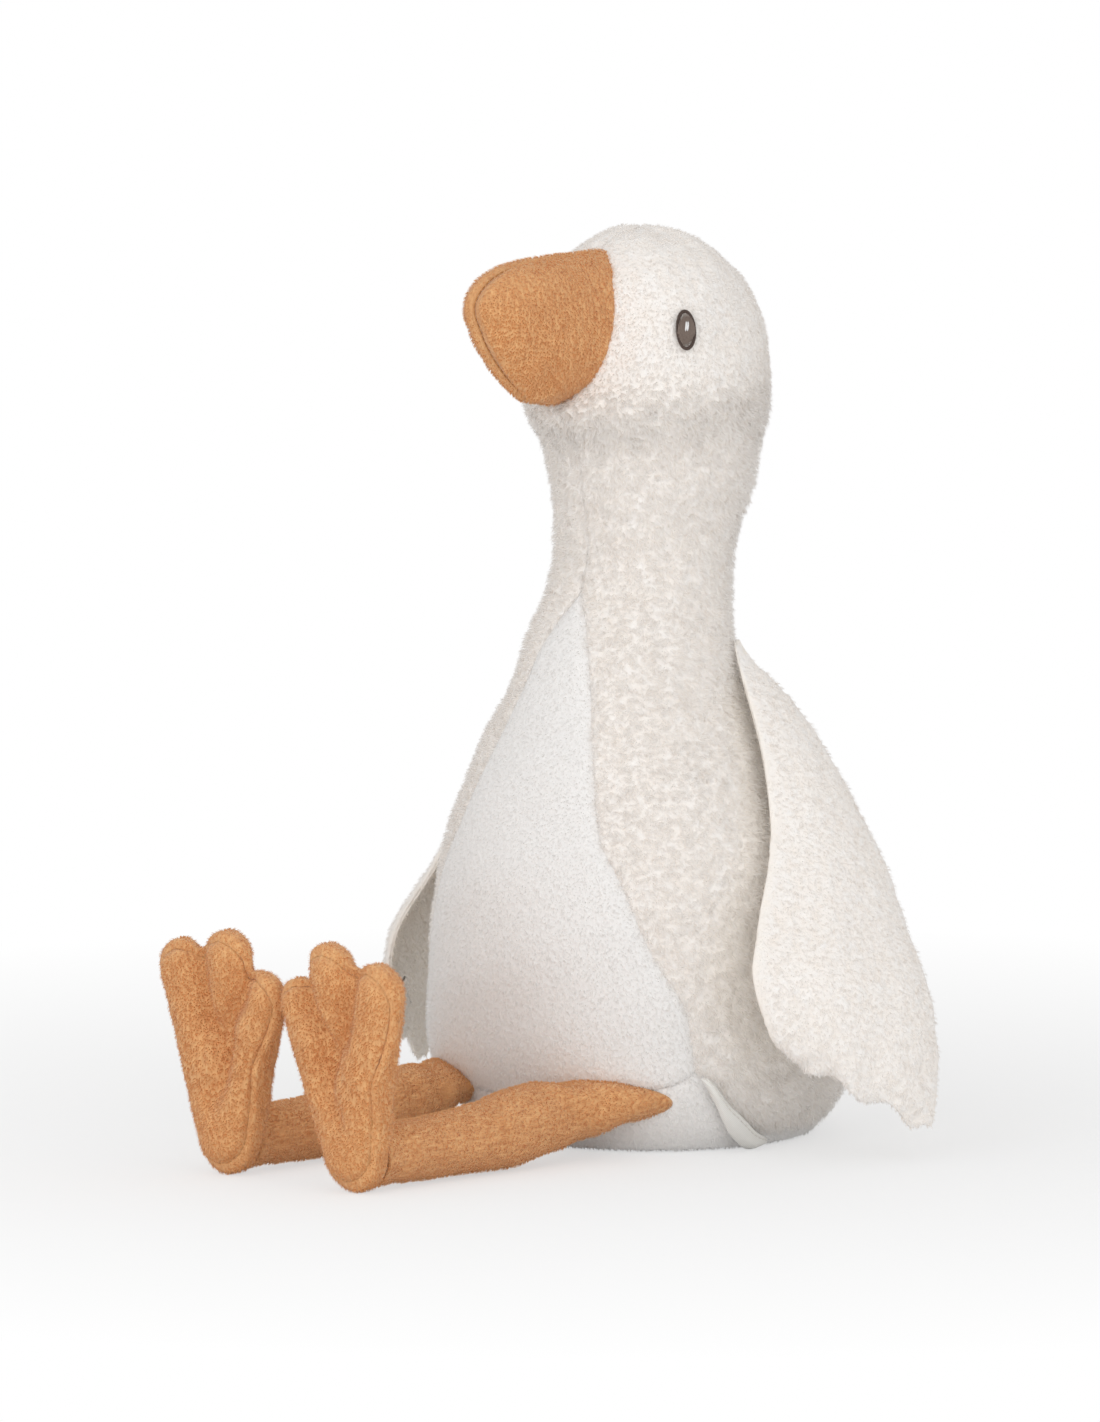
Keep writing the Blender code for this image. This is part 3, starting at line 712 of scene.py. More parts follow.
def lock_mesh(name, fibres, width, start_lean, end_lean, spread, curl, seed):
    """A lock of flat fibres, one unit long, that rise from the cloth and bend over towards +X."""
    rng = np.random.default_rng(seed)
    mesh = bpy.data.meshes.new(name)
    points, faces, alongs = [], [], []
    steps = 2
    for fibre in range(fibres):
        yaw = rng.uniform(-spread, spread)
        foot = np.array((*rng.uniform(-0.16, 0.16, 2), -0.06))
        turn_aside = rng.uniform(-curl, curl)
        reach = rng.uniform(0.75, 1.0)
        first = len(points)
        at = foot
        for step in range(steps + 1):
            share = step / steps
            lean = lerp(start_lean, end_lean, share)
            heading = yaw + turn_aside * share
            run = np.array((cos(heading) * sin(lean), sin(heading) * sin(lean), cos(lean)))
            side = np.array((-sin(heading), cos(heading), 0.0)) * 0.5 * width * (1 - 0.75 * share ** 2)
            if step == steps:
                points.append(at)
                alongs.append(1.0)
            else:
                points += [at - side, at + side]
                alongs += [share, share]
                at = at + run * reach / steps
        for step in range(steps - 1):
            low = first + 2 * step
            faces.append((low, low + 1, low + 3, low + 2))
        low = first + 2 * (steps - 1)
        faces.append((low, low + 1, low + 2))
    mesh.from_pydata([tuple(point) for point in points], [], faces)
    along = mesh.attributes.new("along", "FLOAT", "POINT")
    along.data.foreach_set("value", alongs)
    mesh.shade_smooth()
    return mesh


def lock_collection(name, count, **shape):
    locks = bpy.data.collections.new(name)
    for i in range(count):
        mesh_name = f"{name}_{i}"
        locks.objects.link(bpy.data.objects.new(mesh_name, lock_mesh(mesh_name, seed=i + 1, **shape)))
    return locks


PILE_INPUTS = (
    ("Cloth", "NodeSocketGeometry"),
    ("Locks", "NodeSocketCollection"),
    ("Length", "NodeSocketFloat"),
    ("Density", "NodeSocketFloat"),
    ("Cover", "NodeSocketString"),
    ("Brushed towards", "NodeSocketVector"),
    ("Curl", "NodeSocketFloat"),
    ("Curl size", "NodeSocketFloat"),
    ("Unruliness", "NodeSocketFloat"),
    ("Seed", "NodeSocketInt"),
    ("Material", "NodeSocketMaterial"),
)


def start_tree(name, inputs, output):
    """A node tree with its inputs and its one output, and the sockets that stand for them inside."""
    tree = bpy.data.node_groups.new(name, "GeometryNodeTree")
    for socket, kind in inputs:
        tree.interface.new_socket(socket, in_out="INPUT", socket_type=kind)
    tree.interface.new_socket(output, in_out="OUTPUT", socket_type="NodeSocketGeometry")
    return tree, tree.nodes.new("NodeGroupInput").outputs, tree.nodes.new("NodeGroupOutput").inputs[0]


def pile_tree():
    """Node tree that grows locks on a cloth's faces, in clumps that lie the same way."""
    tree, given, result = start_tree("Grow pile", PILE_INPUTS, "Pile")
    node = partial(add_node, tree)

    def vector_maths(operation, first, second):
        return node("ShaderNodeVectorMath", {"operation": operation}, {0: first, 1: second}).outputs[0]

    def scaled(vector, scale):
        return node("ShaderNodeVectorMath", {"operation": "SCALE"}, {0: vector, "Scale": scale}).outputs[0]

    cover = node("GeometryNodeInputNamedAttribute", {"data_type": "FLOAT"},
                 {"Name": given["Cover"]})
    thick = node("ShaderNodeMath", {"operation": "MULTIPLY"}, {0: given["Density"], 1: cover.outputs[0]})
    spots = node("GeometryNodeDistributePointsOnFaces", {"distribute_method": "RANDOM"},
                 {"Mesh": given["Cloth"], "Density": thick.outputs[0],
                  "Seed": given["Seed"]})
    position = node("GeometryNodeInputPosition").outputs[0]
    fineness = node("ShaderNodeMath", {"operation": "DIVIDE"}, {0: 1.0, 1: given["Curl size"]})
    clumps = node("ShaderNodeTexNoise", {}, {"Vector": position, "Scale": fineness.outputs[0], "Detail": 1.0})
    swirl = scaled(vector_maths("SUBTRACT", clumps.outputs["Color"], (0.5, 0.5, 0.5)), given["Curl"])
    heading = vector_maths("ADD", given["Brushed towards"], swirl)
    lying = node("FunctionNodeAlignRotationToVector", {"axis": "X", "pivot_axis": "Z"},
                 {"Rotation": spots.outputs["Rotation"], "Vector": heading})
    negative = node("ShaderNodeMath", {"operation": "MULTIPLY"}, {0: given["Unruliness"], 1: -1.0})
    stray = node("FunctionNodeRandomValue", {"data_type": "FLOAT"},
                 {2: negative.outputs[0], 3: given["Unruliness"], "Seed": given["Seed"]})
    turned = node("FunctionNodeAxisAngleToRotation", {}, {"Axis": (0.0, 0.0, 1.0), "Angle": stray.outputs[1]})
    aimed = node("FunctionNodeRotateRotation", {"rotation_space": "LOCAL"},
                 {"Rotation": lying.outputs[0], "Rotate By": turned.outputs[0]})
    uneven = node("FunctionNodeRandomValue", {"data_type": "FLOAT"}, {2: 0.7, 3: 1.15, "Seed": 5})
    share = node("GeometryNodeInputNamedAttribute", {"data_type": "FLOAT"}, {"Name": "pile"})
    full = node("ShaderNodeMath", {"operation": "MULTIPLY"}, {0: given["Length"], 1: uneven.outputs[1]})
    size = node("ShaderNodeMath", {"operation": "MULTIPLY"}, {0: full.outputs[0], 1: share.outputs[0]})
    locks = node("GeometryNodeCollectionInfo", {},
                 {"Collection": given["Locks"], "Separate Children": True, "Reset Children": True})
    grown = node("GeometryNodeInstanceOnPoints", {},
                 {"Points": spots.outputs["Points"], "Instance": locks.outputs[0], "Pick Instance": True,
                  "Rotation": aimed.outputs[0], "Scale": size.outputs[0]})
    shade = node("FunctionNodeRandomValue", {"data_type": "FLOAT"}, {2: 0.0, 3: 1.0, "Seed": 11})
    toned = node("GeometryNodeStoreNamedAttribute", {"data_type": "FLOAT", "domain": "INSTANCE"},
                 {"Geometry": grown.outputs[0], "Name": "tone", "Value": shade.outputs[1]})
    real = node("GeometryNodeRealizeInstances", {}, {"Geometry": toned.outputs[0]})
    dressed = node("GeometryNodeSetMaterial", {},
                   {"Geometry": real.outputs[0], "Material": given["Material"]})
    tree.links.new(dressed.outputs[0], result)
    return tree


def nodes_result(obj, tree, values, name):
    """Runs a node tree on an object and returns its result as a plain mesh object of its own."""
    modifier = obj.modifiers.new(tree.name, "NODES")
    modifier.node_group = tree
    for item in tree.interface.items_tree:
        if item.in_out == "INPUT" and item.name in values:
            modifier[item.identifier] = values[item.name]
    obj.update_tag()
    depsgraph = bpy.context.evaluated_depsgraph_get()
    mesh = bpy.data.meshes.new_from_object(obj.evaluated_get(depsgraph), depsgraph=depsgraph)
    obj.modifiers.remove(modifier)
    mesh.name = name
    return link(bpy.data.objects.new(name, mesh))


Nap = namedtuple("Nap", "locks length density brushed curl curl_size unruliness")


def grow(cloth, name, nap, material, slot, cover="cover"):
    """Grows a nap on a cloth skin before it is thickened, as a piece of its own."""
    made = bpy.data.node_groups.get("Grow pile") or pile_tree()
    density = nap.density * 1.0
    pile = nodes_result(cloth, made, {
        "Locks": nap.locks, "Length": nap.length, "Density": density, "Cover": cover,
        "Brushed towards": nap.brushed,
        "Curl": nap.curl, "Curl size": nap.curl_size, "Unruliness": nap.unruliness,
        "Seed": bpy.context.scene.goose_pile.seed, "Material": material}, name)
    return finish_piece(pile, material, slot)


def stitch_collection():
    """One stitch, a round thread that is slim at both ends, one unit long and one unit thick."""
    stitches = bpy.data.collections.new("stitch")
    mesh = bmesh.new()
    profile = ((-0.5, 0.1), (-0.32, 0.42), (0.0, 0.5), (0.32, 0.42), (0.5, 0.1))
    turns = [2 * pi * i / 6 for i in range(6)]
    rings = [[mesh.verts.new((x, radius * cos(turn), radius * sin(turn))) for turn in turns]
             for x, radius in profile]
    for ring, next_ring in zip(rings, rings[1:]):
        for i in range(6):
            mesh.faces.new((ring[i], ring[(i + 1) % 6], next_ring[(i + 1) % 6], next_ring[i]))
    mesh.faces.new(rings[0])
    mesh.faces.new(rings[-1])
    bmesh.ops.recalc_face_normals(mesh, faces=mesh.faces)
    data = bpy.data.meshes.new("stitch")
    mesh.to_mesh(data)
    mesh.free()
    data.shade_smooth()
    stitches.objects.link(bpy.data.objects.new("stitch", data))
    return stitches


STITCH_INPUTS = (
    ("Seam", "NodeSocketGeometry"),
    ("Stitch", "NodeSocketCollection"),
    ("Spacing", "NodeSocketFloat"),
    ("Size", "NodeSocketVector"),
    ("Material", "NodeSocketMaterial"),
)


def stitch_tree():
    """Node tree that lays stitches end to end along a seam."""
    tree, given, result = start_tree("Sew stitches", STITCH_INPUTS, "Stitches")
    node = partial(add_node, tree)
    curve = node("GeometryNodeMeshToCurve", {}, {"Mesh": given["Seam"]})
    spaced = node("GeometryNodeResampleCurve", {"mode": "LENGTH"},
                  {"Curve": curve.outputs["Curve"], "Length": given["Spacing"]})
    tangent = node("GeometryNodeInputTangent")
    aimed = node("FunctionNodeAlignRotationToVector", {"axis": "X"}, {"Vector": tangent.outputs[0]})
    stitch = node("GeometryNodeCollectionInfo", {}, {"Collection": given["Stitch"]})
    laid = node("GeometryNodeInstanceOnPoints", {},
                {"Points": spaced.outputs["Curve"], "Instance": stitch.outputs[0],
                 "Rotation": aimed.outputs[0], "Scale": given["Size"]})
    real = node("GeometryNodeRealizeInstances", {}, {"Geometry": laid.outputs[0]})
    dressed = node("GeometryNodeSetMaterial", {},
                   {"Geometry": real.outputs[0], "Material": given["Material"]})
    tree.links.new(dressed.outputs[0], result)
    return tree


def sew(name, points, colour="seam_thread", slot="velour"):
    """Sews a row of stitches through points along a seam."""
    scene = bpy.context.scene
    sewing = scene.goose_sewing
    data = bpy.data.meshes.new(name + "_seam")
    data.from_pydata(points.tolist(), [(i, i + 1) for i in range(len(points) - 1)], [])
    seam = link(bpy.data.objects.new(name + "_seam", data))
    thread = material_of(colour, thread_finish, tuple(getattr(scene.goose_colours, colour)))
    stitches = nodes_result(seam, bpy.data.node_groups.get("Sew stitches") or stitch_tree(), {
        "Stitch": bpy.data.collections.get("stitch") or stitch_collection(), "Spacing": sewing.stitch_length,
        "Size": (0.9 * sewing.stitch_length, sewing.thread_width, sewing.thread_width),
        "Material": thread}, name)
    bpy.data.objects.remove(seam)
    return finish_piece(stitches, thread, slot)


# Kinds of lock: how many differ, and how the fibres in one lie
LOCKS = {"curls": dict(count=5, fibres=4, width=0.075, start_lean=0.5, end_lean=1.75, spread=0.8, curl=1.4),
         "combed": dict(count=4, fibres=4, width=0.11, start_lean=0.6, end_lean=1.5, spread=0.5, curl=0.5),
         "nap": dict(count=4, fibres=3, width=0.13, start_lean=0.55, end_lean=1.3, spread=0.4, curl=0.4)}


def nap_of(kind, *looks):
    """A nap of one kind of lock: length, density, way it is brushed, curl, size of curls, unruliness."""
    return Nap(bpy.data.collections.get(kind) or lock_collection(kind, **LOCKS[kind]), *looks)


def material_of(name, make, *looks):
    return bpy.data.materials.get(name) or make(name, *looks)


def long_pile():
    pile = bpy.context.scene.goose_pile
    return nap_of("curls", pile.long_length, pile.long_density, (0.0, 0.0, -0.25), 1.6, 0.0035, 0.6)


def short_pile():
    pile = bpy.context.scene.goose_pile
    return nap_of("combed", pile.short_length, pile.short_density, (0.0, 0.0, -1.0), 0.6, 0.006, 0.5)


def head_pile():
    """Fine pile, pressed smooth, whose length is halved by the head's share of the pile."""
    pile = bpy.context.scene.goose_pile
    length, density = 2.4 * pile.short_length, 1.1 * pile.short_density
    return nap_of("combed", length, density, (0.0, 0.0, -0.8), 0.8, 0.004, 0.5)


def wing_pile():
    pile = bpy.context.scene.goose_pile
    length, density = 0.6 * pile.long_length, 1.15 * pile.long_density
    return nap_of("combed", length, density, (0.0, 0.0, -1.3), 0.8, 0.004, 0.4)


def velour_nap(brushed):
    pile = bpy.context.scene.goose_pile
    return nap_of("nap", pile.nap_length, pile.nap_density, brushed, 0.55, 0.003, 0.3)


def pile_materials():
    colours = bpy.context.scene.goose_colours
    # The lining's colour is also painted as warm shade in the crease beside each wing
    tip, root, warm = tuple(colours.pile), tuple(colours.pile_root), tuple(colours.lining)
    return (material_of("long_pile_backing", cloth_finish, tip, root, warm, 0.003),
            material_of("long_pile_fibres", pile_finish, tip, root, warm, 0.0022))


def wing_materials():
    """Outer and inner backing of the wings, and the lining's pile."""
    colours = bpy.context.scene.goose_colours
    tip, root, lining = tuple(colours.pile), tuple(colours.pile_root), tuple(colours.lining)
    # The lining's fibres are darker at the root as painted shade
    inner_root = shade_of(lining, 0.92)
    return (material_of("wing_backing", cloth_finish, tip, root, lining, 0.003),
            material_of("lining_backing", cloth_finish, lining, inner_root, lining, 0.0018),
            material_of("lining_fibres", pile_finish, lining, inner_root, lining, 0.002))


def short_materials():
    colours = bpy.context.scene.goose_colours
    tip = tuple(colours.belly)
    # The belly's fibres are a little darker at the root as painted shade
    root, warm = shade_of(tip, 0.95), tuple(colours.lining)
    return (material_of("short_pile_backing", cloth_finish, tip, root, warm, 0.0018),
            material_of("short_pile_fibres", pile_finish, tip, root, warm, 0.002))


UPRIGHT_STREAKS = (1.0, 1.0, 0.2)
LEVEL_STREAKS = (1.0, 0.2, 1.0)


def velour_materials(name, stretch):
    """Velour brushed one way, whose nap parts in fine streaks that painted shade darkens."""
    colours = bpy.context.scene.goose_colours
    tip, root = tuple(colours.velour), tuple(colours.velour_root)
    return (material_of(name + "_backing", cloth_finish, tip, root, tip, 0.001, stretch),
            material_of(name + "_fibres", pile_finish, tip, root, tip, 0.0007, stretch, 0.7, 0.5, 2.2))


# Body


def flank_place(hand):
    def front_edge(height):
        return np.maximum(belly_seam_azimuth(height), 0.0)

    whole = panel_place(front_edge, back_seam_azimuth, HEIGHT, LONG_PILE_DEPTH, side_dip=0.22, low_dip=0.25,
                        tucks=(0.0, PANEL_TUCK), hand=hand)

    def place(u, v, depth=0.0):
        points = whole(u, v, depth)
        points[..., 0] = np.maximum(points[..., 0], 0.0)
        return points

    return place


def back_place(u, v, depth=0.0):
    place = panel_place(back_seam_azimuth, lambda height: 360 - back_seam_azimuth(height), NOTCH_HEIGHT,
                        LONG_PILE_DEPTH, side_dip=0.08, low_dip=0.25)
    return place(u, v, depth)


def bib_place(u, v, depth=0.0):
    whole = panel_place(lambda height: -belly_seam_azimuth(height), belly_seam_azimuth, BELLY_SEAM[-1][1],
                        SHORT_PILE_DEPTH, side_dip=1.15, low_dip=0.35, tucks=(BELLY_TUCK, BELLY_TUCK))
    return whole(u, v, depth)


def seat_place(u, v, depth=0.0):
    azimuth = 360 * u
    seam = climb_to(seat_seam_height(np.minimum(azimuth, 360 - azimuth))) + PANEL_TUCK
    flat = -SEAT_RADIUS * (1 - v / SEAT_FLAT_SHARE)
    rising = seam * (v - SEAT_FLAT_SHARE) / (1 - SEAT_FLAT_SHARE)
    climb = np.where(v < SEAT_FLAT_SHARE, flat, rising)
    short = SHORT_PILE_DEPTH * smoothstep(-0.012, 0.004, climb)
    return body_point(azimuth, climb, depth + short + 0.7 * seam_dip(seam - climb))


def seat_cover(u, v, points):
    """The flat part that the goose sits on is pressed bare."""
    return lerp(0.2, 1.0, smoothstep(0.3, 0.45, v))


def long_pile_share(u, v, points):
    height = points[..., 2]
    return pile_by_height(height) + 0.3 * hump(height - CHIN_HEIGHT, CHIN_TALL)


def flank_cover(u, v, points):
    """Curls grow up to the cheeks, where the smooth pile of the head takes over."""
    return lerp(0.95, 0.0, smoothstep(*CURLS_END, points[..., 2]))


def head_cover(u, v, points):
    return smoothstep(*SMOOTH_STARTS, points[..., 2])


def back_cover(u, v, points):
    return 0.78 * flank_cover(u, v, points)


def flank_warmth(u, v, points):
    """Warm shade in the crease beside the wing's front edge."""
    height = points[..., 2]
    azimuth = np.degrees(np.arctan2(np.abs(points[..., 0]), station_back(height) - points[..., 1]))
    heights, azimuths = zip(*sorted((row[0][0], row[0][1]) for row in WING_ROWS))
    edge = np.interp(height, heights, azimuths)
    beside = smoothstep(edge - 13, edge - 2, azimuth)
    return 0.6 * beside * smoothstep(0.015, 0.04, height) * (1 - smoothstep(0.13, 0.155, height))


class GOOSE_OT_flanks_and_back(bpy.types.Operator):
    """Lays the curly long-pile cloth of both flanks and the back"""
    bl_idname = "goose.flanks_and_back"
    bl_label = "Flanks and back"

    def execute(self, context):
        backing, fibres = pile_materials()
        thickness = context.scene.goose_sewing.cloth_thickness
        flank = {"pile": long_pile_share, "cover": flank_cover, "smooth": head_cover, "warm": flank_warmth}
        back = {"pile": long_pile_share, "cover": back_cover, "smooth": head_cover}
        panels = (("flank_{}_left", flank_place(1), 46, 130, False, flank, "side_panel_left"),
                  ("flank_{}_right", flank_place(-1), 46, 130, True, flank, "side_panel_right"),
                  ("back_{}", back_place, 50, 110, False, back, "back_panel"))
        for name, place, columns, rows, mirrored, marks, node in panels:
            cloth = skin_object(name.format("cloth"), place, columns, rows, mirrored, **marks)
            roughen(cloth, height=0.0006, size=0.0045, detail=3)
            grow(cloth, name.format("pile"), long_pile(), fibres, "long_pile")
            grow(cloth, name.format("head_pile"), head_pile(), fibres, "long_pile", "smooth")
            thicken(cloth, thickness)
            stands_for = (node, "body_filling") if node == "back_panel" else (node,)
            finish_piece(cloth, backing, "long_pile", *stands_for, fill=0.8)
        return {"FINISHED"}


class GOOSE_OT_belly_and_seat(bpy.types.Operator):
    """Lays the smooth short-pile cloth of the belly and the seat"""
    bl_idname = "goose.belly_and_seat"
    bl_label = "Belly and seat"

    def execute(self, context):
        backing, fibres = short_materials()
        thickness = context.scene.goose_sewing.cloth_thickness
        panels = (("belly_cloth", "belly_pile", bib_place, 60, 90, {}, "belly_panel"),
                  ("seat_cloth", "seat_pile", seat_place, 120, 30, {"cover": seat_cover}, "seat_panel"))
        for name, pile_name, place, columns, rows, marks, node in panels:
            cloth = skin_object(name, place, columns, rows, **marks)
            grow(cloth, pile_name, short_pile(), fibres, "short_pile")
            thicken(cloth, thickness)
            finish_piece(cloth, backing, "short_pile", node, fill=0.8)
        return {"FINISHED"}


# Beak


def skin_front(across, height):
    """The y of the body's front at this distance to the side and height."""
    return station_back(height) - np.sqrt(np.maximum(ring_radius(height) ** 2 - across ** 2, 0.0))


def beak_profile_curves():
    """Reach and drop of the beak's seam line by share of its length."""
    steps = np.diff(np.array(BEAK_PROFILE), axis=0) * (BEAK_LENGTH, 2 * BEAK_BASE_HALF_HEIGHT)
    lengths = np.concatenate(([0.0], np.cumsum(np.hypot(*steps.T))))
    shares = lengths / lengths[-1]
    return tuple(smooth_curve([(share, point[i]) for share, point in zip(shares, BEAK_PROFILE)])
                 for i in (0, 1))


beak_reach, beak_drop = beak_profile_curves()


def beak_place(turn, along, depth=0.0):
    """Side of the beak: along runs from the base's top to the chin, turn from the base to the seam."""
    seam_distance = (1 - turn) * 0.5 * pi * BEAK_BASE_HALF_WIDTH
    depth = depth + NAP_DEPTH + 1.1 * seam_dip(1.9 * seam_distance)
    half_height = BEAK_BASE_HALF_HEIGHT - depth
    base_x = (BEAK_BASE_HALF_WIDTH - depth) * np.sin(pi * along)
    base_z = BEAK_BASE_HEIGHT + half_height * np.cos(pi * along)
    base_y = skin_front(base_x, base_z) + 0.0030
    edge_z = BEAK_BASE_HEIGHT + half_height * (1 - 2 * beak_drop(along))
    edge_y = skin_front(0.0, edge_z) - beak_reach(along) * (BEAK_LENGTH - depth)
    angle = 0.5 * pi * turn
    out = np.where(turn < 1, np.maximum(np.cos(angle), 0.0) ** (2 / BEAK_BULGE), 0.0)
    forward = np.sin(angle) ** (2 / BEAK_BULGE)
    return points_of(base_x * out, lerp(base_y, edge_y, forward), lerp(base_z, edge_z, forward))


def beak_nap_share(turn, along, points):
    """The nap lies down into the seam."""
    return lerp(0.35, 1.0, smoothstep(0.0, 0.16, 1 - turn))


class GOOSE_OT_beak(bpy.types.Operator):
    """Makes the two stuffed velour halves of the beak and the seam between them"""
    bl_idname = "goose.beak"
    bl_label = "Beak"

    def execute(self, context):
        backing, fibres = velour_materials("upright_velour", UPRIGHT_STREAKS)
        for side, mirrored in (("left", False), ("right", True)):
            half = skin_object("beak_cloth_" + side, beak_place, 44, 70, mirrored, pile=beak_nap_share)
            roughen(half, 0.0003, 0.006)
            grow(half, "beak_nap_" + side, velour_nap((0.0, -0.6, -1.0)), fibres, "velour")
            thicken(half, FINE_CLOTH)
            stands_for = ("beak_" + side, "beak_filling") if side == "left" else ("beak_" + side,)
            finish_piece(half, backing, "velour", *stands_for, fill=0.9)
        along = np.linspace(0.03, 0.97, 90)
        sew("beak_stitches", beak_place(np.ones(90), along, np.full(90, -0.0005)) * (0, 1, 1))
        return {"FINISHED"}


# Eyes


def eye_surface(across, up, relief):
    """Points on the head round the left eye, by distance from the middle of the upright eye."""
    across, up = across * cos(EYE_TILT) - up * sin(EYE_TILT), across * sin(EYE_TILT) + up * cos(EYE_TILT)
    height = EYE_HEIGHT + up
    return skin_point(EYE_AZIMUTH + np.degrees(across / ring_radius(height)), height, -relief)


def thread_rows(name, ends, width, relief, bow, mirrored):
    """Embroidery: a round-topped thread between each pair of ends, bowed out in its middle."""
    sides, steps = 6, 6
    points, faces = [], []
    for start, end in ends:
        start, end = np.array(start), np.array(end)
        run = end - start
        across = np.array((-run[1], run[0])) / max(np.hypot(*run), 1e-9)
        first = len(points)
        for step in range(steps + 1):
            share = step / steps
            at = lerp(start, end, share)
            lift = relief + bow * sin(pi * share)
            slim = 0.5 * width * (0.35 + 0.65 * sin(pi * share) ** 0.4 if 0 < step < steps else 0.2)
            for side in range(sides):
                angle = 2 * pi * side / sides
                place = at + across * slim * cos(angle)
                points.append(eye_surface(place[0], place[1], lift + 0.8 * slim * sin(angle)))
        for step in range(steps):
            for side in range(sides):
                low, next_side = first + step * sides, (side + 1) % sides
                faces.append((low + side, low + next_side, low + sides + next_side, low + sides + side))
        faces.append(tuple(first + side for side in reversed(range(sides))))
        faces.append(tuple(first + steps * sides + side for side in range(sides)))
    points = np.array(points)
    if mirrored:
        points = mirror_x(points)
    data = bpy.data.meshes.new(name)
    data.from_pydata(points.tolist(), [], faces)
    with edited(data) as mesh:
        bmesh.ops.recalc_face_normals(mesh, faces=mesh.faces)
    data.shade_smooth()
    return link(bpy.data.objects.new(name, data))


def oval_rows(width, tall, pitch, tilt):
    """Ends of parallel threads that fill an oval, leaning by a tilt."""
    half = 0.5 * width
    count = int(width / pitch)
    ends = []
    for i in range(count):
        x = lerp(-half, half, (i + 0.5) / count)
        reach = 0.5 * tall * sqrt(max(1 - (x / half) ** 2, 0.0))
        shift = tilt * reach
        ends.append(((x - shift, -reach), (x + shift, reach)))
    return ends


def ring_ends(width, tall, band, pitch):
    """Ends of short threads that lie across the oval's border, as satin stitch does."""
    count = int(pi * 0.5 * (width + tall) / pitch)
    ends = []
    for i in range(count):
        angle = 2 * pi * i / count
        outer = np.array((0.5 * width * cos(angle), 0.5 * tall * sin(angle)))
        inner = np.array(((0.5 * width - band) * cos(angle + 0.06), (0.5 * tall - band) * sin(angle + 0.06)))
        ends.append((tuple(inner), tuple(outer)))
    return ends


class GOOSE_OT_eyes(bpy.types.Operator):
    """Embroiders both eyes: rows of brown thread, a satin border and a white glint"""
    bl_idname = "goose.eyes"
    bl_label = "Eyes"

    def execute(self, context):
        colours = context.scene.goose_colours
        width = context.scene.goose_sewing.thread_width
        brown = material_of("eye_fill_silk", thread_finish, tuple(colours.eye))
        dark = material_of("eye_border_silk", thread_finish, tuple(colours.eye_border))
        white = material_of("glint_silk", thread_finish, tuple(colours.glint))
        rows = oval_rows(0.8 * EYE_WIDTH, 0.88 * EYE_TALL, 0.9 * width, 0.12)
        ring = ring_ends(EYE_WIDTH, EYE_TALL, 0.0011, 0.95 * width)
        lean, half = 0.1 * GLINT_WIDTH, 0.5 * GLINT_TALL
        glint = [((x - lean, y - half), (x + lean, y + half)) for x, y in GLINT_THREADS]
        for side, mirrored in (("left", False), ("right", True)):
            eye = thread_rows("eye_threads_" + side, rows, 1.25 * width, 0.0007, 0.0006, mirrored)
            finish_piece(eye, brown, "eye_thread", "eye_" + side)
            border = thread_rows("eye_border_" + side, ring, 1.25 * width, 0.0006, 0.0003, mirrored)
            finish_piece(border, dark, "eye_thread")
            patch = thread_rows("eye_glint_threads_" + side, glint, 0.0006, 0.0014, 0.0003, mirrored)
            finish_piece(patch, white, "glint_thread", "eye_glint_" + side)
        return {"FINISHED"}


# Wings


def wing_curves():
    """Height, azimuth and clearance along the front and the rear edge, by share of the way down."""
    shares = [row / (len(WING_ROWS) - 1) for row in range(len(WING_ROWS))]
    curves = [smooth_curve([(share, row[edge][value]) for share, row in zip(shares, WING_ROWS)])
              for edge in (0, 1) for value in range(3)]
    return curves[:3], curves[3:]


def wing_surface(across, down):
    """Points of the wing's inner face: across runs from the front edge to the rear, down from the root."""
    front, rear = wing_curves()
    height, azimuth, clearance = (lerp(front[i](down), rear[i](down), across) for i in range(3))
    height = height - WING_SCALLOP_DEPTH * np.sin(WING_SCALLOPS * pi * across) ** 2 * down ** 8
    height = np.maximum(height, 0.0008)
    clearance = clearance + WING_BELLY * np.sin(pi * across) * np.sin(pi * np.minimum(down, 1.0)) + 0.0003
    turn = np.radians(azimuth)
    reach = ring_radius(height) + clearance
    return points_of(np.sin(turn) * reach, station_back(height) - np.cos(turn) * reach, height)


def wing_outward(across, down):
    """Directions out of the wing's face, away from the body."""
    right, left = np.minimum(across + 0.01, 1), np.maximum(across - 0.01, 0)
    low, high = np.minimum(down + 0.01, 1), np.maximum(down - 0.01, 0)
    over = wing_surface(right, down) - wing_surface(left, down)
    along = wing_surface(across, low) - wing_surface(across, high)
    normal = unit(np.cross(along, over))
    point = wing_surface(across, down)
    away = (normal * point)[..., :2].sum(-1, keepdims=True)
    return np.where(away > 0, normal, -normal)


def wing_face(face, base, swell):
    """One layer of the wing, round at its edges where the two layers are sewn and turned."""
    def place(u, v, depth=0.0):
        across, down = 0.5 - 0.5 * np.cos(pi * u), 1 - (0.5 - 0.5 * np.cos(pi * v))
        edge = (np.sin(pi * u) * np.sin(pi * v)) ** 0.45
        ripple = 0.0009 * np.sin(5 * pi * across + 1.0) * down ** 3 * np.sin(pi * u)
        slim = lerp(0.25, 1.0, smoothstep(0.0, 0.16, down))
        offset = slim * base + face * (slim * swell * edge - depth) + ripple
        return wing_surface(across, down) + wing_outward(across, down) * offset[..., None]

    return place


def wing_pile_share(u, v, points):
    """The pile is short at the rolled front edge and where the wing is sewn on."""
    across, down = 0.5 - 0.5 * np.cos(pi * u), 0.5 + 0.5 * np.cos(pi * v)
    return 0.85 * lerp(0.35, 1.0, smoothstep(0.0, 0.1, across)) * lerp(0.4, 1.0, smoothstep(0.0, 0.12, down))


def wing_warmth(u, v, points):
    """The lining's warm cloth rolls over the front edge."""
    return 0.7 * (1 - smoothstep(0.0, 0.07, 0.5 - 0.5 * np.cos(pi * u)))


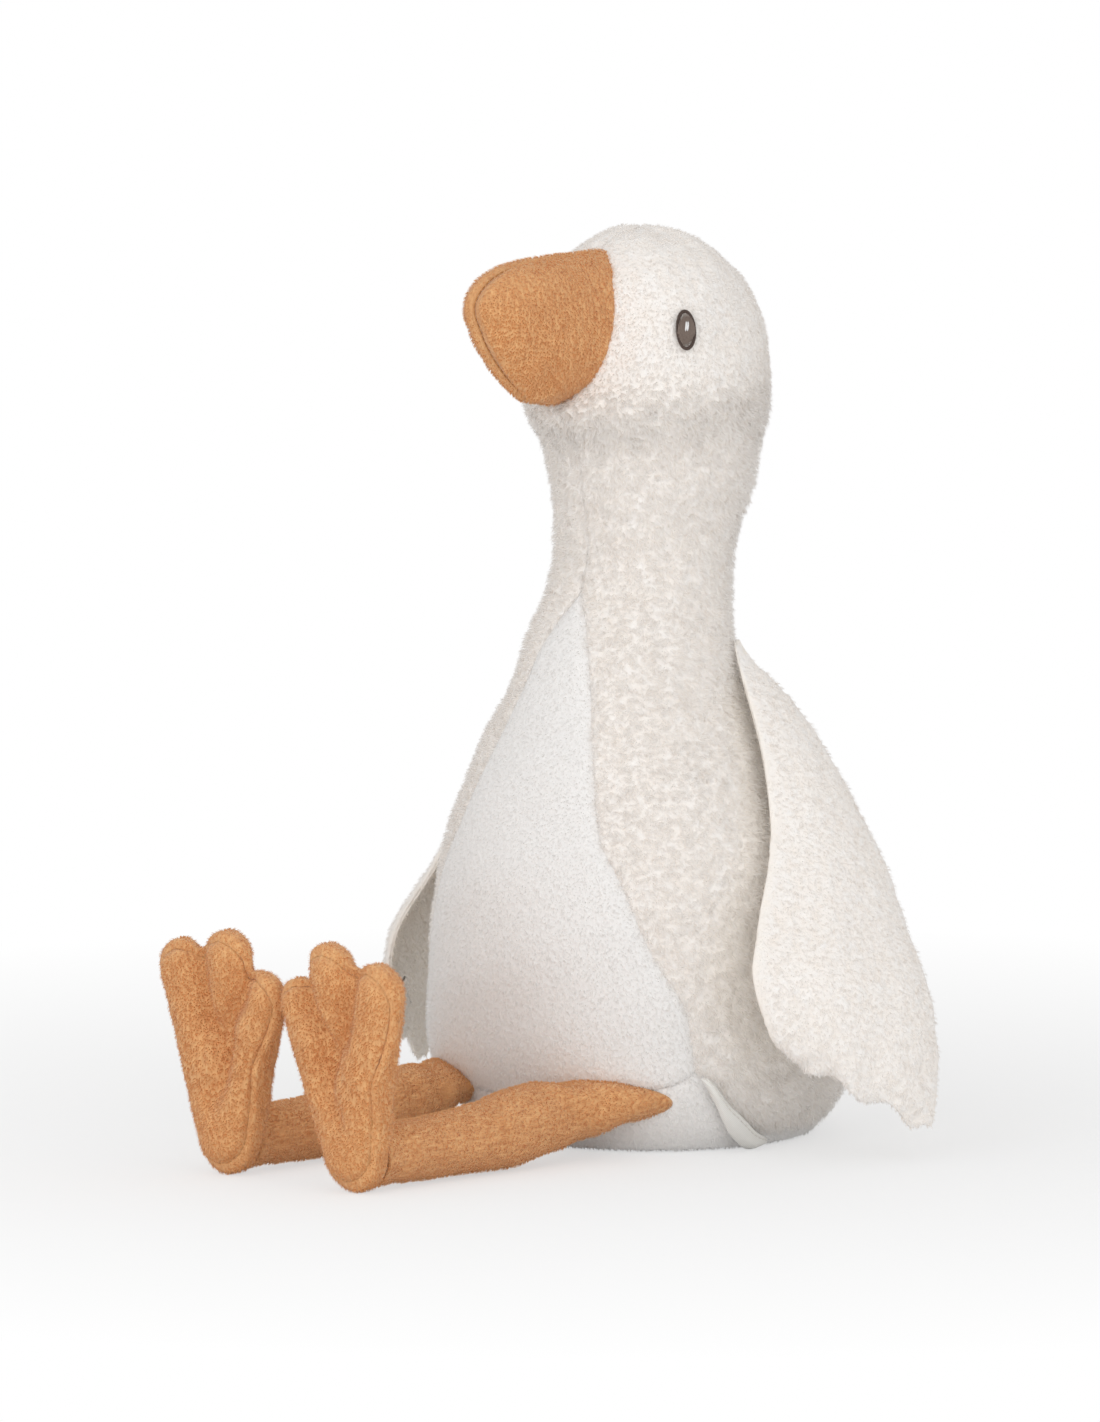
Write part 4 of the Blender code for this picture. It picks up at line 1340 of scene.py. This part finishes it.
class GOOSE_OT_wings(bpy.types.Operator):
    """Makes both hanging wings, with combed pile outside and a smooth warm lining inside"""
    bl_idname = "goose.wings"
    bl_label = "Wings"

    def execute(self, context):
        fibres = pile_materials()[1]
        backing, lining_backing, lining_fibres = wing_materials()
        seam_level = 0.5 * (WING_LINING + WING_OUTER) - 0.0004
        for side, mirrored in (("left", False), ("right", True)):
            outer = skin_object("wing_cloth_" + side, wing_face(1, seam_level, WING_SWELL), 60, 90, mirrored,
                                pile=wing_pile_share, warm=wing_warmth)
            roughen(outer, height=0.0005, size=0.0045, detail=3)
            grow(outer, "wing_pile_" + side, wing_pile(), fibres, "long_pile")
            finish_piece(thicken(outer, FINE_CLOTH), backing, "long_pile", "wing_outer_" + side, fill=0.15)
            inner_face = wing_face(-1, seam_level, WING_SWELL)
            lining = skin_object("wing_lining_cloth_" + side, inner_face, 50, 80, mirrored)
            grow(lining, "wing_lining_pile_" + side, short_pile(), lining_fibres, "lining_pile")
            thicken(lining, FINE_CLOTH)
            finish_piece(lining, lining_backing, "lining_pile", "wing_lining_" + side, fill=0.15)
        return {"FINISHED"}


# Legs and feet


def leg_section(down, depth):
    """Centre and half sizes of the leg's section at a share of the way from the body to the foot."""
    rounding = smoothstep(0.0, LEG_ROUND_BY, down)
    plump = LEG_PLUMPNESS * hump(down - 0.38, 0.22)
    depth = depth - plump
    centre_x = 0.5 * LEG_SPACING + LEG_ROOT_OUTSET * (1 - rounding)
    centre_z = lerp(LEG_ROOT_HEIGHT, ANKLE_HEIGHT, np.minimum(down / LEG_DOWN_BY, 1.0)) + 0.8 * plump
    half_width = lerp(LEG_ROOT_HALF_WIDTH, LEG_RADIUS, rounding) - depth
    half_height = lerp(LEG_ROOT_HALF_HEIGHT, LEG_RADIUS, rounding) - depth
    return centre_x, centre_z, half_width, half_height


def leg_place(u, v, depth=0.0):
    turn = 2 * pi * u
    ankle = ANKLE_CREASE * hump(v - 0.93, 0.03)
    creases = LEG_CREASES * np.sin(46 * v + 2 * np.sin(turn)) * hump(v, 0.25) + ankle
    underside = LEG_SEAM_DEPTH * hump(np.abs(turn - 1.5 * pi) * LEG_RADIUS, LEG_SEAM_REACH)
    centre_x, centre_z, half_width, half_height = leg_section(v, depth + NAP_DEPTH + creases + underside)
    x = centre_x + half_width * np.cos(turn)
    z = centre_z + half_height * np.sin(turn)
    root_y = skin_front(x, z) + 0.002
    return points_of(x, lerp(root_y, -LEG_REACH + 0.004, v), z)


def lobe_half_thickness(across, up, toe):
    """Half thickness of one stuffed lobe, a round bar that tapers from the heel to the toe's tip."""
    tip_across, tip_up, tip_radius = toe
    run_x, run_z = tip_across, tip_up - HEEL_RADIUS
    off_x, off_z = across, up - HEEL_RADIUS
    share = np.clip((off_x * run_x + off_z * run_z) / (run_x ** 2 + run_z ** 2), 0.0, 1.0)
    radius = lerp(HEEL_RADIUS, tip_radius, share)
    away = (off_x - run_x * share) ** 2 + (off_z - run_z * share) ** 2
    return FOOT_FLATNESS * np.sqrt(np.maximum(radius ** 2 - away, 0.0))


def in_web(across, up):
    corners = [(0.0, HEEL_RADIUS)] + [(x, z + WEB_RISE) for x, z, _ in TOES]
    inside = np.ones(np.shape(across), dtype=bool)
    for (x, z), (next_x, next_z) in zip(corners, corners[1:] + corners[:1]):
        inside &= (next_x - x) * (up - z) - (next_z - z) * (across - x) <= 0
    return inside


def foot_half_thickness(across, up):
    lobes = np.max([lobe_half_thickness(across, up, toe) for toe in TOES], axis=0)
    return np.where(in_web(across, up), np.maximum(lobes, WEB_HALF_THICKNESS), lobes)


def foot_outline(turn):
    """Distance from the foot's middle to its outline in each direction."""
    reaches = np.linspace(2 * FOOT_CENTRE_HEIGHT, 0, 600)
    inside = foot_half_thickness(reaches * np.cos(turn)[..., None],
                                 FOOT_CENTRE_HEIGHT + reaches * np.sin(turn)[..., None]) > 0
    return reaches[np.argmax(inside, axis=-1)]


def from_line(across, up, line):
    """Distance from a line of points on the foot, and the share of the way along it."""
    best = np.full(np.shape(across), 1.0)
    along = np.zeros(np.shape(across))
    for i, ((x, z), (next_x, next_z)) in enumerate(zip(line, line[1:])):
        run_x, run_z = next_x - x, next_z - z
        share = np.clip(((across - x) * run_x + (up - z) * run_z) / (run_x ** 2 + run_z ** 2), 0.0, 1.0)
        distance = np.hypot(across - x - run_x * share, up - z - run_z * share)
        along = np.where(distance < best, (i + share) / (len(line) - 1), along)
        best = np.minimum(distance, best)
    return best, along


def stitched_thickness(across, up):
    """Half thickness of the foot with the valleys between its toes drawn in."""
    thick = foot_half_thickness(across, up) - NAP_DEPTH
    for line, width, start, end in FOOT_VALLEYS:
        distance, along = from_line(across, up, line)
        drawn = hump(distance, width) * lerp(start, end, along)
        thick = thick - np.maximum(thick - VALLEY_HALF_THICKNESS, 0.0) * drawn
    return thick


def foot_to_world(across, up, out):
    return points_of(0.5 * LEG_SPACING + across - FOOT_ROLL * up, out - LEG_REACH - FOOT_LEAN * up, up)


def foot_face(face):
    """One velour side of a foot, from its middle to the seam, which runs in front of the widest outline."""
    def place(u, v, depth=0.0):
        turn = 2 * pi * u
        edge = foot_outline(turn)
        level = FOOT_CENTRE_HEIGHT + edge * np.sin(turn)
        edge = edge + TOE_FLARE * hump(level - TOE_FLARE_HEIGHT, 0.009)
        edge = edge - FOOT_WAIST * hump(level - FOOT_WAIST_HEIGHT, 0.008)
        climb = v * (1 + face * SEAM_FORWARD)
        side = np.where(climb > 1, -face, face)
        climb = np.where(climb > 1, 2 - climb, climb)
        share = np.sin(0.5 * pi * climb)
        to_seam = (1 - v) * (1 + face * SEAM_FORWARD) * FOOT_SEAM_RUN
        pucker = FOOT_PUCKER * np.sin(46 * turn) * hump(to_seam, PUCKER_REACH)
        groove = FOOT_GROOVE * hump(to_seam, GROOVE_REACH) + pucker
        reach = (edge - NAP_DEPTH - groove) * share
        across, up = reach * np.cos(turn), FOOT_CENTRE_HEIGHT + reach * np.sin(turn)
        thick = np.where(share < 0.9999, stitched_thickness(across, up), 0.0)
        if face == 1:
            thick = thick + ANKLE_FOLD * hump(up - ANKLE_FOLD_HEIGHT, 0.0022) * (side > 0) * (1 - share ** 4)
        return foot_to_world(across, up, side * np.maximum(thick - depth - groove, 0.0))

    return place


def foot_nap_share(u, v, points):
    return lerp(0.4, 1.0, smoothstep(0.0, 0.09, 1 - v))


class GOOSE_OT_legs_and_feet(bpy.types.Operator):
    """Makes the stuffed velour legs and the webbed feet"""
    bl_idname = "goose.legs_and_feet"
    bl_label = "Legs and feet"

    def execute(self, context):
        upright = velour_materials("upright_velour", UPRIGHT_STREAKS)
        backing, fibres = velour_materials("level_velour", LEVEL_STREAKS)
        for side, mirrored in (("left", False), ("right", True)):
            leg = skin_object("leg_cloth_" + side, leg_place, 40, 80, mirrored)
            roughen(leg, 0.0004, 0.008)
            grow(leg, "leg_nap_" + side, velour_nap((0.0, -1.0, -0.2)), fibres, "velour")
            thicken(leg, FINE_CLOTH)
            finish_piece(leg, backing, "velour", "leg_" + side, "leg_filling_" + side, fill=0.8)
            for part, face in (("sole", -1), ("upper", 1)):
                cloth = skin_object(f"foot_{part}_cloth_{side}", foot_face(face), 150, 34, mirrored,
                                    pile=foot_nap_share)
                roughen(cloth, 0.0004, 0.007)
                grow(cloth, f"foot_{part}_nap_{side}", velour_nap((0.0, 0.0, -1.0)), upright[1], "velour")
                thicken(cloth, FOOT_CLOTH)
                finish_piece(cloth, upright[0], "velour", f"foot_{part}_{side}", fill=0.8)
            around = np.linspace(0.0, 1.0, 240)
            seam = foot_face(1)(around, np.ones(240), np.full(240, 0.00015))
            sew("foot_stitches_" + side, mirror_x(seam) if mirrored else seam)
        return {"FINISHED"}


# Label


def label_place(u, v, depth=0.0):
    """The tape lies over the seat seam like a leaf, pointed at both ends."""
    sewing = bpy.context.scene.goose_sewing
    azimuth = lerp(LABEL_FROM, LABEL_TO, u)
    seam = climb_to(seat_seam_height(azimuth))
    leaf = sewing.label_width * np.maximum(np.sin(pi * u), 0.0) ** LABEL_ROUNDNESS
    upper = seam + LABEL_SHARE_ABOVE * leaf
    lower = np.maximum(seam - (1 - LABEL_SHARE_ABOVE) * leaf, 0.25 * seam)
    lift = LABEL_BOW * np.sin(pi * v) + LABEL_LIFT * np.minimum(6 * np.minimum(u, 1 - u), 1.0)
    return body_point(azimuth, lerp(lower, upper, v), depth - sewing.label_thickness - lift)


class GOOSE_OT_side_label(bpy.types.Operator):
    """Sews the bare woven tape into the seat seam on the goose's left"""
    bl_idname = "goose.side_label"
    bl_label = "Side label"

    def execute(self, context):
        sewing = context.scene.goose_sewing
        label = skin_object("side_label_tape", label_place, 60, 16)
        tape_map = label.data.uv_layers.new(name="tape")
        for loop, corner in zip(label.data.loops, tape_map.data):
            point = label.data.vertices[loop.vertex_index].co
            corner.uv = (point.x * 0.6 + point.y * 0.8, point.z)
        thicken(label, sewing.label_thickness)
        tape = material_of("label_tape", tape_finish, tuple(context.scene.goose_colours.tape))
        finish_piece(label, tape, "tape", "side_label")
        hem = label_place(np.linspace(0.04, 0.96, 60), np.full(60, 0.86), np.full(60, -0.0001))
        sew("label_stitches", hem, "label_thread", "tape")
        return {"FINISHED"}


# Stage


def seen_directly(tree):
    """One for what the camera, reflections and glass see, and nothing for light that falls on the goose."""
    path = tree.nodes.new("ShaderNodeLightPath")
    camera, glossy, glass = (Signal(tree, path.outputs[ray])
                             for ray in ("Is Camera Ray", "Is Glossy Ray", "Is Transmission Ray"))
    return camera.larger(glossy.larger(glass))


class GOOSE_OT_stage(bpy.types.Operator):
    """Sets the pale floor, the soft studio light and the camera"""
    bl_idname = "goose.stage"
    bl_label = "Stage"

    def execute(self, context):
        settings = context.scene.goose_stage
        self.world(context.scene, settings)
        self.floor(settings)
        self.lamp("Key lamp", KEY_PLACE, KEY_WIDTH, settings.key_power)
        self.lamp("Fill lamp", FILL_PLACE, FILL_WIDTH, settings.fill_power)
        self.camera(context.scene)
        context.scene.view_settings.view_transform = "Standard"
        return {"FINISHED"}

    def world(self, scene, settings):
        world = bpy.data.worlds.new("Studio")
        world.use_nodes = True
        scene.world = world
        tree = world.node_tree
        background = tree.nodes["Background"]
        strength = seen_directly(tree) * (1.0 - settings.sky_light) + settings.sky_light
        background.inputs["Color"].default_value = (1.0, 1.0, 1.0, 1.0)
        tree.links.new(strength.socket, background.inputs["Strength"])

    def floor(self, settings):
        mesh = bmesh.new()
        bmesh.ops.create_grid(mesh, x_segments=1, y_segments=1, size=0.5 * settings.floor_size)
        data = bpy.data.meshes.new("floor")
        mesh.to_mesh(data)
        mesh.free()
        floor = link(bpy.data.objects.new("floor", data))
        finish = Finish("floor_paper", {"Base Color": (0.86, 0.86, 0.86, 1.0), "Roughness": 0.9,
                                        "Specular IOR Level": 0.2})
        tree = finish.tree
        distance = finish.node("ShaderNodeVectorMath", {"operation": "LENGTH"}, {0: finish.places()}, "Value")
        far = ((distance - 0.10) / 0.35).clamped()
        share = seen_directly(tree) * (far * 0.45 + 0.55)
        glow = tree.nodes.new("ShaderNodeEmission")
        glow.inputs["Color"].default_value = (1.0, 1.0, 1.0, 1.0)
        mix = tree.nodes.new("ShaderNodeMixShader")
        tree.links.new(share.socket, mix.inputs[0])
        tree.links.new(finish.shader.outputs[0], mix.inputs[1])
        tree.links.new(glow.outputs[0], mix.inputs[2])
        tree.links.new(mix.outputs[0], tree.nodes["Material Output"].inputs[0])
        data.materials.append(finish.material)

    def lamp(self, name, place, width, power):
        data = bpy.data.lights.new(name, "AREA")
        data.shape = "DISK"
        data.size = width
        data.energy = power
        azimuth = radians(VIEW_AZIMUTH)
        right, towards, up = place
        away = Vector((right * cos(azimuth) + towards * sin(azimuth),
                       right * sin(azimuth) - towards * cos(azimuth), up))
        lamp = link(bpy.data.objects.new(name, data))
        lamp.location = Vector((0, 0, MIDDLE_HEIGHT)) + away
        lamp.rotation_euler = (-away).to_track_quat("-Z", "Y").to_euler()

    def camera(self, scene):
        azimuth, elevation = radians(VIEW_AZIMUTH), radians(VIEW_ELEVATION)
        back = Vector((sin(azimuth) * cos(elevation), -cos(azimuth) * cos(elevation), sin(elevation)))
        right = Vector((cos(azimuth), sin(azimuth), 0))
        up = back.cross(right)
        target = up * VIEW_RISE + right * VIEW_SHIFT
        data = bpy.data.cameras.new("Camera")
        data.lens = VIEW_LENS
        data.sensor_width = 36
        data.clip_start = 0.1
        data.clip_end = 100
        camera = link(bpy.data.objects.new("Camera", data))
        camera.location = target + back * VIEW_DISTANCE
        camera.rotation_mode = "QUATERNION"
        camera.rotation_quaternion = (-back).to_track_quat("-Z", "Y")
        scene.camera = camera


STEPS = ("flanks_and_back", "belly_and_seat", "beak", "eyes", "wings", "legs_and_feet", "side_label", "stage")


class GOOSE_PT_panel(bpy.types.Panel):
    """Lists the goose's pieces and their settings in the sidebar"""
    bl_idname = "GOOSE_PT_panel"
    bl_label = "Plush goose"
    bl_space_type = "VIEW_3D"
    bl_region_type = "UI"
    bl_category = "Plush goose"

    def draw(self, context):
        for step in STEPS:
            self.layout.operator("goose." + step)
        for group in (context.scene.goose_pile, context.scene.goose_sewing, context.scene.goose_colours,
                      context.scene.goose_stage):
            box = self.layout.box()
            for name in group.__annotations__:
                box.prop(group, name)


CLASSES = (GoosePile, GooseSewing, GooseColours, GooseStage, GOOSE_OT_flanks_and_back,
           GOOSE_OT_belly_and_seat, GOOSE_OT_beak, GOOSE_OT_eyes, GOOSE_OT_wings, GOOSE_OT_legs_and_feet,
           GOOSE_OT_side_label, GOOSE_OT_stage, GOOSE_PT_panel)
GROUPS = {"goose_pile": GoosePile, "goose_sewing": GooseSewing, "goose_colours": GooseColours,
          "goose_stage": GooseStage}


def register():
    for made in CLASSES:
        bpy.utils.register_class(made)
    for name, group in GROUPS.items():
        setattr(bpy.types.Scene, name, PointerProperty(type=group))


def unregister():
    for name in GROUPS:
        delattr(bpy.types.Scene, name)
    for made in reversed(CLASSES):
        bpy.utils.unregister_class(made)


def main():
    register()
    for step in STEPS:
        getattr(bpy.ops.goose, step)()


if __name__ == "__main__":
    main()
